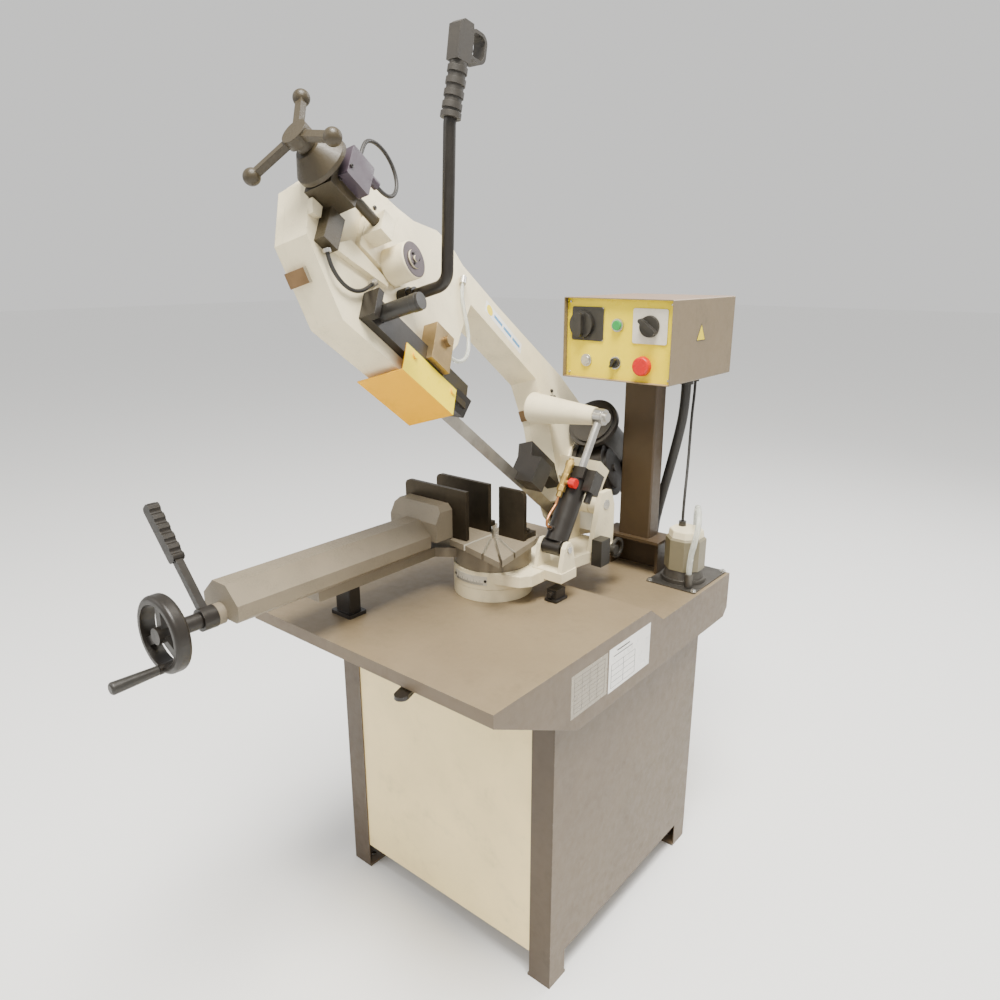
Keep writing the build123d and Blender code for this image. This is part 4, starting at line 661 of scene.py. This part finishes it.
def arc_slab(bm, radius, thickness, levels, angles, steps=1):
    """Thin band on a cylinder about the swivel axis, between two levels and two angles."""
    low, high = levels
    start, end = angles
    outside = radius + thickness
    columns = []
    for i in range(steps + 1):
        ray = swivel_ray(start + (end - start) * i / steps)
        columns.append(
            [
                bm.verts.new(SWIVEL_AXIS + ray * reach + UP * z)
                for reach, z in ((radius, low), (outside, low), (outside, high), (radius, high))
            ]
        )
    for near, far in zip(columns, columns[1:]):
        for i in range(4):
            bm.faces.new((near[i], far[i], far[(i + 1) % 4], near[(i + 1) % 4]))
    bm.faces.new(columns[0][::-1])
    bm.faces.new(columns[-1])


def mark_height(number):
    """Height of a degree mark: tallest at the tens, less at the fives."""
    if number % 10 == FIRST_TEN:
        return 0.011
    return 0.008 if number % 5 == FIRST_TEN else 0.005


def mitre_scale():
    """Degree strip round the front of the swivel ring, held by two screws."""
    bm = bmesh.new()
    levels = (SCALE_LOW, SCALE_HIGH)
    arc_slab(bm, STRIP_R, STRIP_THICK, levels, (SCALE_START, SCALE_END), STRIP_STEPS)
    add_piece("mitre_scale", bm, "head", "pale_plate")
    bm = bmesh.new()
    foot = SCALE_LOW + MARK_GAP
    for i in range(MARKS):
        angle = SCALE_START + MARK_MARGIN + i
        width = (angle - MARK_HALF_WIDTH, angle + MARK_HALF_WIDTH)
        arc_slab(bm, MARK_R, MARK_THICK, (foot, foot + mark_height(i)), width)
    add_piece("mitre_scale_marks", bm, "head", "ink")
    bm = bmesh.new()
    middle = UP * ((SCALE_LOW + SCALE_HIGH) / 2)
    for angle in (SCALE_START + 2.5, SCALE_END - 2.5):
        ray = swivel_ray(angle)
        matrix = upright(SWIVEL_AXIS + ray * MARK_R + middle, ray)
        lathe(bm, ((0.0032, 0), (0.0032, 0.0012), (0.0022, 0.002)), 20, matrix)
    add_piece("mitre_scale_screws", bm, "head", "black_paint")


# ---------------------------------------------------------------- plates and labels
PLATE_THICK = 0.0002
PLATE_SUNK = 0.0002
RULING_LIFT = 0.0001    # how far the ruled lines stand above their plate
LABEL_HALF = (0.082, 0.015)
LABEL_THICK = 0.0003
PRINT_THICK = 0.0006    # top of the disc and the bars above the casting
DISC_R = 0.0125
DISC_SIDES = 36
DISC_X = -0.064
BAR_HALF = 0.004
BARS = ((-0.044, -0.008), (-0.002, 0.034), (0.040, 0.074))


def plate(name, node, start, width, height, paint, lines):
    """Thin blank plate on the right of a CAD node, with (x0, y0, x1, y1) lines as shares."""
    place, normal = seat(node, start, -RIGHT)
    matrix = facing(place, UP.cross(normal).normalized(), normal)
    half = (width / 2, height / 2)
    bm = bmesh.new()
    slab(bm, matrix, (-half[0], -half[1], -PLATE_SUNK), (*half, PLATE_THICK))
    add_piece(name, bm, body_of(node), paint)
    bm = bmesh.new()
    for x0, y0, x1, y1 in lines:
        low = ((x0 - 0.5) * width, (y0 - 0.5) * height, 0.0)
        high = ((x1 - 0.5) * width, (y1 - 0.5) * height, PLATE_THICK + RULING_LIFT)
        slab(bm, matrix, low, high)
    add_piece(name + "_ruling", bm, body_of(node), "ink")


def ruled(rows, columns, left=0.08, right=0.92, low=0.1, high=0.9, weight=0.008):
    """Lines of a blank table."""
    lines = []
    for i in range(rows + 1):
        y = low + (high - low) * i / rows
        lines.append((left, y - weight / 2, right, y + weight / 2))
    for i in range(columns + 1):
        x = left + (right - left) * i / columns
        lines.append((x - weight / 2, low, x + weight / 2, high))
    return lines


def arch_label():
    """Blank film on the face of the arch: a yellow disc and three plain bars."""
    place, normal = seat("bow_casting", bow_place(345, 292, 200), -WHEEL_AXIS)
    side = (bow_place(257, 285, 0) - bow_place(407, 291, 0)).normalized()
    side = (side - normal * side.dot(normal)).normalized()
    matrix = facing(place, side, normal)
    bm = bmesh.new()
    slab(bm, matrix, (-LABEL_HALF[0], -LABEL_HALF[1], -PLATE_SUNK), (*LABEL_HALF, LABEL_THICK))
    add_piece("arch_label", bm, "bow", "white_plate")
    bm = bmesh.new()
    disc = matrix @ Matrix.Translation((DISC_X, 0, 0))
    lathe(bm, ((DISC_R, 0), (DISC_R, PRINT_THICK)), DISC_SIDES, disc)
    add_piece("arch_label_disc", bm, "bow", "yellow_panel")
    bm = bmesh.new()
    for left, right in BARS:
        slab(bm, matrix, (left, -BAR_HALF, 0), (right, BAR_HALF, PRINT_THICK))
    add_piece("arch_label_bars", bm, "bow", "blue_film")


def blank_triangle():
    """Plain yellow triangle with a dark rim on the side of the control box."""
    place, _ = seat("control_box", (0.40, 0.355, 1.355), -RIGHT)
    matrix = facing(place, REARWARD, RIGHT) @ Matrix.Rotation(radians(90), 4, "Z")
    for name, radius, lift, paint in (
        ("triangle_rim", 0.027, 0.0004, "ink"),
        ("triangle", 0.023, 0.0007, "yellow_panel"),
    ):
        bm = bmesh.new()
        lathe(bm, ((radius, -PLATE_SUNK), (radius, lift)), 3, matrix)
        add_piece(name, bm, "base", paint)


# ---------------------------------------------------------------- painted areas
FACING = 0.5            # least share of a normal that counts as facing that way
SQUARELY = 0.9
PUMP_CAP_LOW = 0.869
PUMP_GLAND_LOW = 0.8868
LOWER_PIN = Vector((0, -0.066, 0.914))
RAM = Vector((0, 0.53505, 0.84482))     # direction of the feed cylinder
PIPE_REACH = 0.1035     # from the lower pin along the cylinder
VALVE_BLOCK_LEFT = 0.1575
SWITCH_BOX_LEFT = 0.1479
SWITCH_BOX_HIGH = 0.899
LAMP_X = 0.0986
LAMP_Z = 1.378
LAMP_R = 0.0125
CAM_PLATE_LEFT = 0.14
CAM_PLATE_LOW = 1.34
MAIN_PLATE_RIGHT = 0.05
MAIN_PLATE_LOW = 1.32
KERF_REACH = 0.095      # from the swivel axis
KERF_LOW = 0.9075
KERF_HIGH = 0.9235
KERF_LEVEL = 0.2        # a wall's normal rises less than this
STRAP_OUT = 0.013       # this and the next three are distances in the bow's frame
CAP_FACE_OUT = 0.1
LIMIT_SWITCH_OUT = 0.0985
LIMIT_SWITCH_END = 0.958


def in_kerf(centre, normal):
    """Walls of the saw kerfs near the swivel axis."""
    away = hypot(centre.x - SWIVEL_AXIS.x, centre.y - SWIVEL_AXIS.y)
    return away < KERF_REACH and KERF_LOW < centre.z < KERF_HIGH and abs(normal.z) < KERF_LEVEL


def on_pipe(centre, normal):
    """The pipe at the foot of the feed valve, left of the black block."""
    return (centre - LOWER_PIN).dot(RAM) < PIPE_REACH and centre.x < VALVE_BLOCK_LEFT


def on_lamp(centre, normal):
    """The lamp's lens on the control panel."""
    return hypot(centre.x - LAMP_X, centre.z - LAMP_Z) < LAMP_R


def on_cam_plate(centre, normal):
    """The front of the cam switch's plate."""
    return centre.x > CAM_PLATE_LEFT and centre.z > CAM_PLATE_LOW and normal.y < -FACING


def on_cap_face(centre, normal):
    """The flat outer end of the idler's cap."""
    return normal.dot(WHEEL_AXIS) > SQUARELY and bow_share(centre)[2] > CAP_FACE_OUT


def on_limit_switch(centre, normal):
    """The limit switch on the tension housing."""
    along, _, out = bow_share(centre)
    return out > LIMIT_SWITCH_OUT and along < LIMIT_SWITCH_END


# (CAD node, look, test of a face's centre and normal); a later row paints over an earlier one
PAINTED_AREAS = (
    # painted deep shade on the faces of the cabinet sides that turn to front and back
    ("cabinet_sides", "leg_paint", lambda c, n: abs(n.y) > FACING),
    # painted shade on the drip tray's upright walls
    ("drip_tray", "side_paint", lambda c, n: abs(n.z) < FACING),
    ("control_box", "hood_brown", lambda c, n: n.z > FACING),
    ("pump_motor", "white_paint", lambda c, n: c.z > PUMP_CAP_LOW),
    ("pump_motor", "black_plastic", lambda c, n: c.z > PUMP_GLAND_LOW),
    ("feed_valve", "black_paint", lambda c, n: c.x > VALVE_BLOCK_LEFT),
    ("feed_valve", "copper_pipe", on_pipe),
    (
        "head_fittings", "black_plastic",
        lambda c, n: c.x > SWITCH_BOX_LEFT and c.z < SWITCH_BOX_HIGH,
    ),
    ("panel_fittings", "green_lens", on_lamp),
    ("panel_fittings", "pale_plate", on_cam_plate),
    (
        "panel_fittings", "black_plastic",
        lambda c, n: c.x < MAIN_PLATE_RIGHT and c.z > MAIN_PLATE_LOW,
    ),
    ("vise_table", "pale_plate", in_kerf),
    ("bow_fittings", "strap_bronze", lambda c, n: bow_share(c)[2] < STRAP_OUT),
    ("idler_carriage", "cap_steel", on_cap_face),
    ("tension_housing", "switch_purple", on_limit_switch),
    # the guard's faces turned to the light on the right get plain yellow, and its other faces keep
    # the orange painted shade
    ("blade_guard", "yellow_panel", lambda c, n: n.x > FACING),
)


def paint_areas():
    """Gives the faces in each painted area a second material."""
    for node, paint, test in PAINTED_AREAS:
        mesh = frame["nodes"][node].data
        mesh.materials.append(MATERIALS[paint])
        index = len(mesh.materials) - 1
        for face in mesh.polygons:
            if test(face.center, face.normal):
                face.material_index = index


paint_areas()

# ---------------------------------------------------------------- fixings
PANEL_FRONT = 0.12      # y of the ray starts in front of the control panel
PUMP_ABOVE = 0.80       # z of the ray starts above the pump's flange
BOW_CLEAR = 200         # ray starts beside the bow, in millimetres along the wheel axis
CAP_CENTRE = (746, 133)
CAP_SCREW_R = 10


def beside_bow(*spots, side=1):
    """Ray starts on one side of the bow, for several (s, w) spots."""
    return [bow_place(s, w, side * BOW_CLEAR) for s, w in spots]


def cap_spots():
    """Three (s, w) spots round the idler's cap."""
    s, w = CAP_CENTRE
    return [(s + CAP_SCREW_R * cos(t), w + CAP_SCREW_R * sin(t)) for t in (0.5, 2.6, 4.7)]


def add_details():
    """Fixings and blank plates that ride on the CAD parts."""
    mitre_scale()
    panel = [(x, PANEL_FRONT, z) for x in (-0.036, 0.237) for z in (1.259, 1.429)]
    screw_row(
        "panel_screws", "control_panel", panel, REARWARD, 0.0028, "button_metal", socket=True,
    )
    flange = [(x, y, PUMP_ABOVE) for x in (0.208, 0.326) for y in (0.246, 0.416)]
    screw_row("pump_screws", "pump_base", flange, -UP, 0.0055, "button_metal")
    arch_label()
    blank_triangle()
    arch = beside_bow((102, 253), (102, 271), (86, 262))
    screw_row("arch_screws", "bow_casting", arch, -WHEEL_AXIS, 0.0045, socket=True)
    cover = beside_bow(
        (832, 133), (746, 226), (746, 44), (-94, 216), (-94, 50), (-176, 133), (330, 285),
        side=-1,
    )
    screw_row("cover_screws", "blade_cover", cover, WHEEL_AXIS, 0.0055)
    casting = beside_bow((806, 227), (760, 235))
    screw_row("casting_screws", "bow_casting", casting, -WHEEL_AXIS, 0.004, socket=True)
    cap = beside_bow(*cap_spots())
    screw_row("cap_screws", "idler_carriage", cap, -WHEEL_AXIS, 0.0024, socket=True)
    switch = beside_bow((942, 136), (942, 154))
    screw_row("limit_switch_screws", "tension_housing", switch, -WHEEL_AXIS, 0.0034, socket=True)
    plate(
        "type_plate", "drip_tray", (0.40, -0.234, 0.7165), 0.130, 0.094, "grey_plate",
        ruled(8, 4, weight=0.006),
    )
    plate(
        "data_plate", "drip_tray", (0.40, -0.078, 0.7155), 0.170, 0.100, "white_plate",
        ruled(4, 2, 0.06, 0.62, 0.08, 0.62) + [(0.10, 0.78, 0.55, 0.80), (0.18, 0.87, 0.48, 0.90)],
    )


add_details()

# ---------------------------------------------------------------- floor, light
FLOOR_HALF = 30
FLOOR_DEPTH = 0.05
FLOOR_COLOUR = (0.93, 0.93, 0.92, 1)
FLOOR_ROUGH = 0.9
SKY_COLOUR = (1.0, 0.995, 0.98, 1)
SKY_STRENGTH = 0.88

# (name, place, aim, size, watts, tint)
LIGHTS = (
    ("key", (1.0, -1.0, 4.8), (0, -0.1, 0.8), 1.7, 460, (1.0, 0.97, 0.90)),
    ("fill", (-2.4, -3.2, 2.8), (0, 0, 0.9), 2.6, 45, (1.0, 0.97, 0.92)),
    ("rim", (0.8, 3.2, 3.4), (0, 0, 1.0), 2.0, 90, (1.0, 1.0, 1.0)),
)


def make_stage():
    """Pale floor and soft studio light."""
    bm = bmesh.new()
    low = (-FLOOR_HALF, -FLOOR_HALF, -FLOOR_DEPTH)
    slab(bm, Matrix.Identity(4), low, (FLOOR_HALF, FLOOR_HALF, 0.0))
    material, _, _ = new_material("floor", Roughness=FLOOR_ROUGH, Base_Color=FLOOR_COLOUR)
    mesh_object("floor", bm, material)
    world = bpy.data.worlds.new("studio")
    world.use_nodes = True
    sky = world.node_tree.nodes["Background"]
    sky.inputs["Color"].default_value = SKY_COLOUR
    sky.inputs["Strength"].default_value = SKY_STRENGTH
    bpy.context.scene.world = world
    for name, place, aim, size, watts, tint in LIGHTS:
        data = bpy.data.lights.new(name, "AREA")
        data.size = size
        data.energy = watts
        data.color = tint
        lamp = new_object(name, data)
        lamp.location = place
        lamp.rotation_euler = (Vector(aim) - Vector(place)).to_track_quat("-Z", "Y").to_euler()


make_stage()
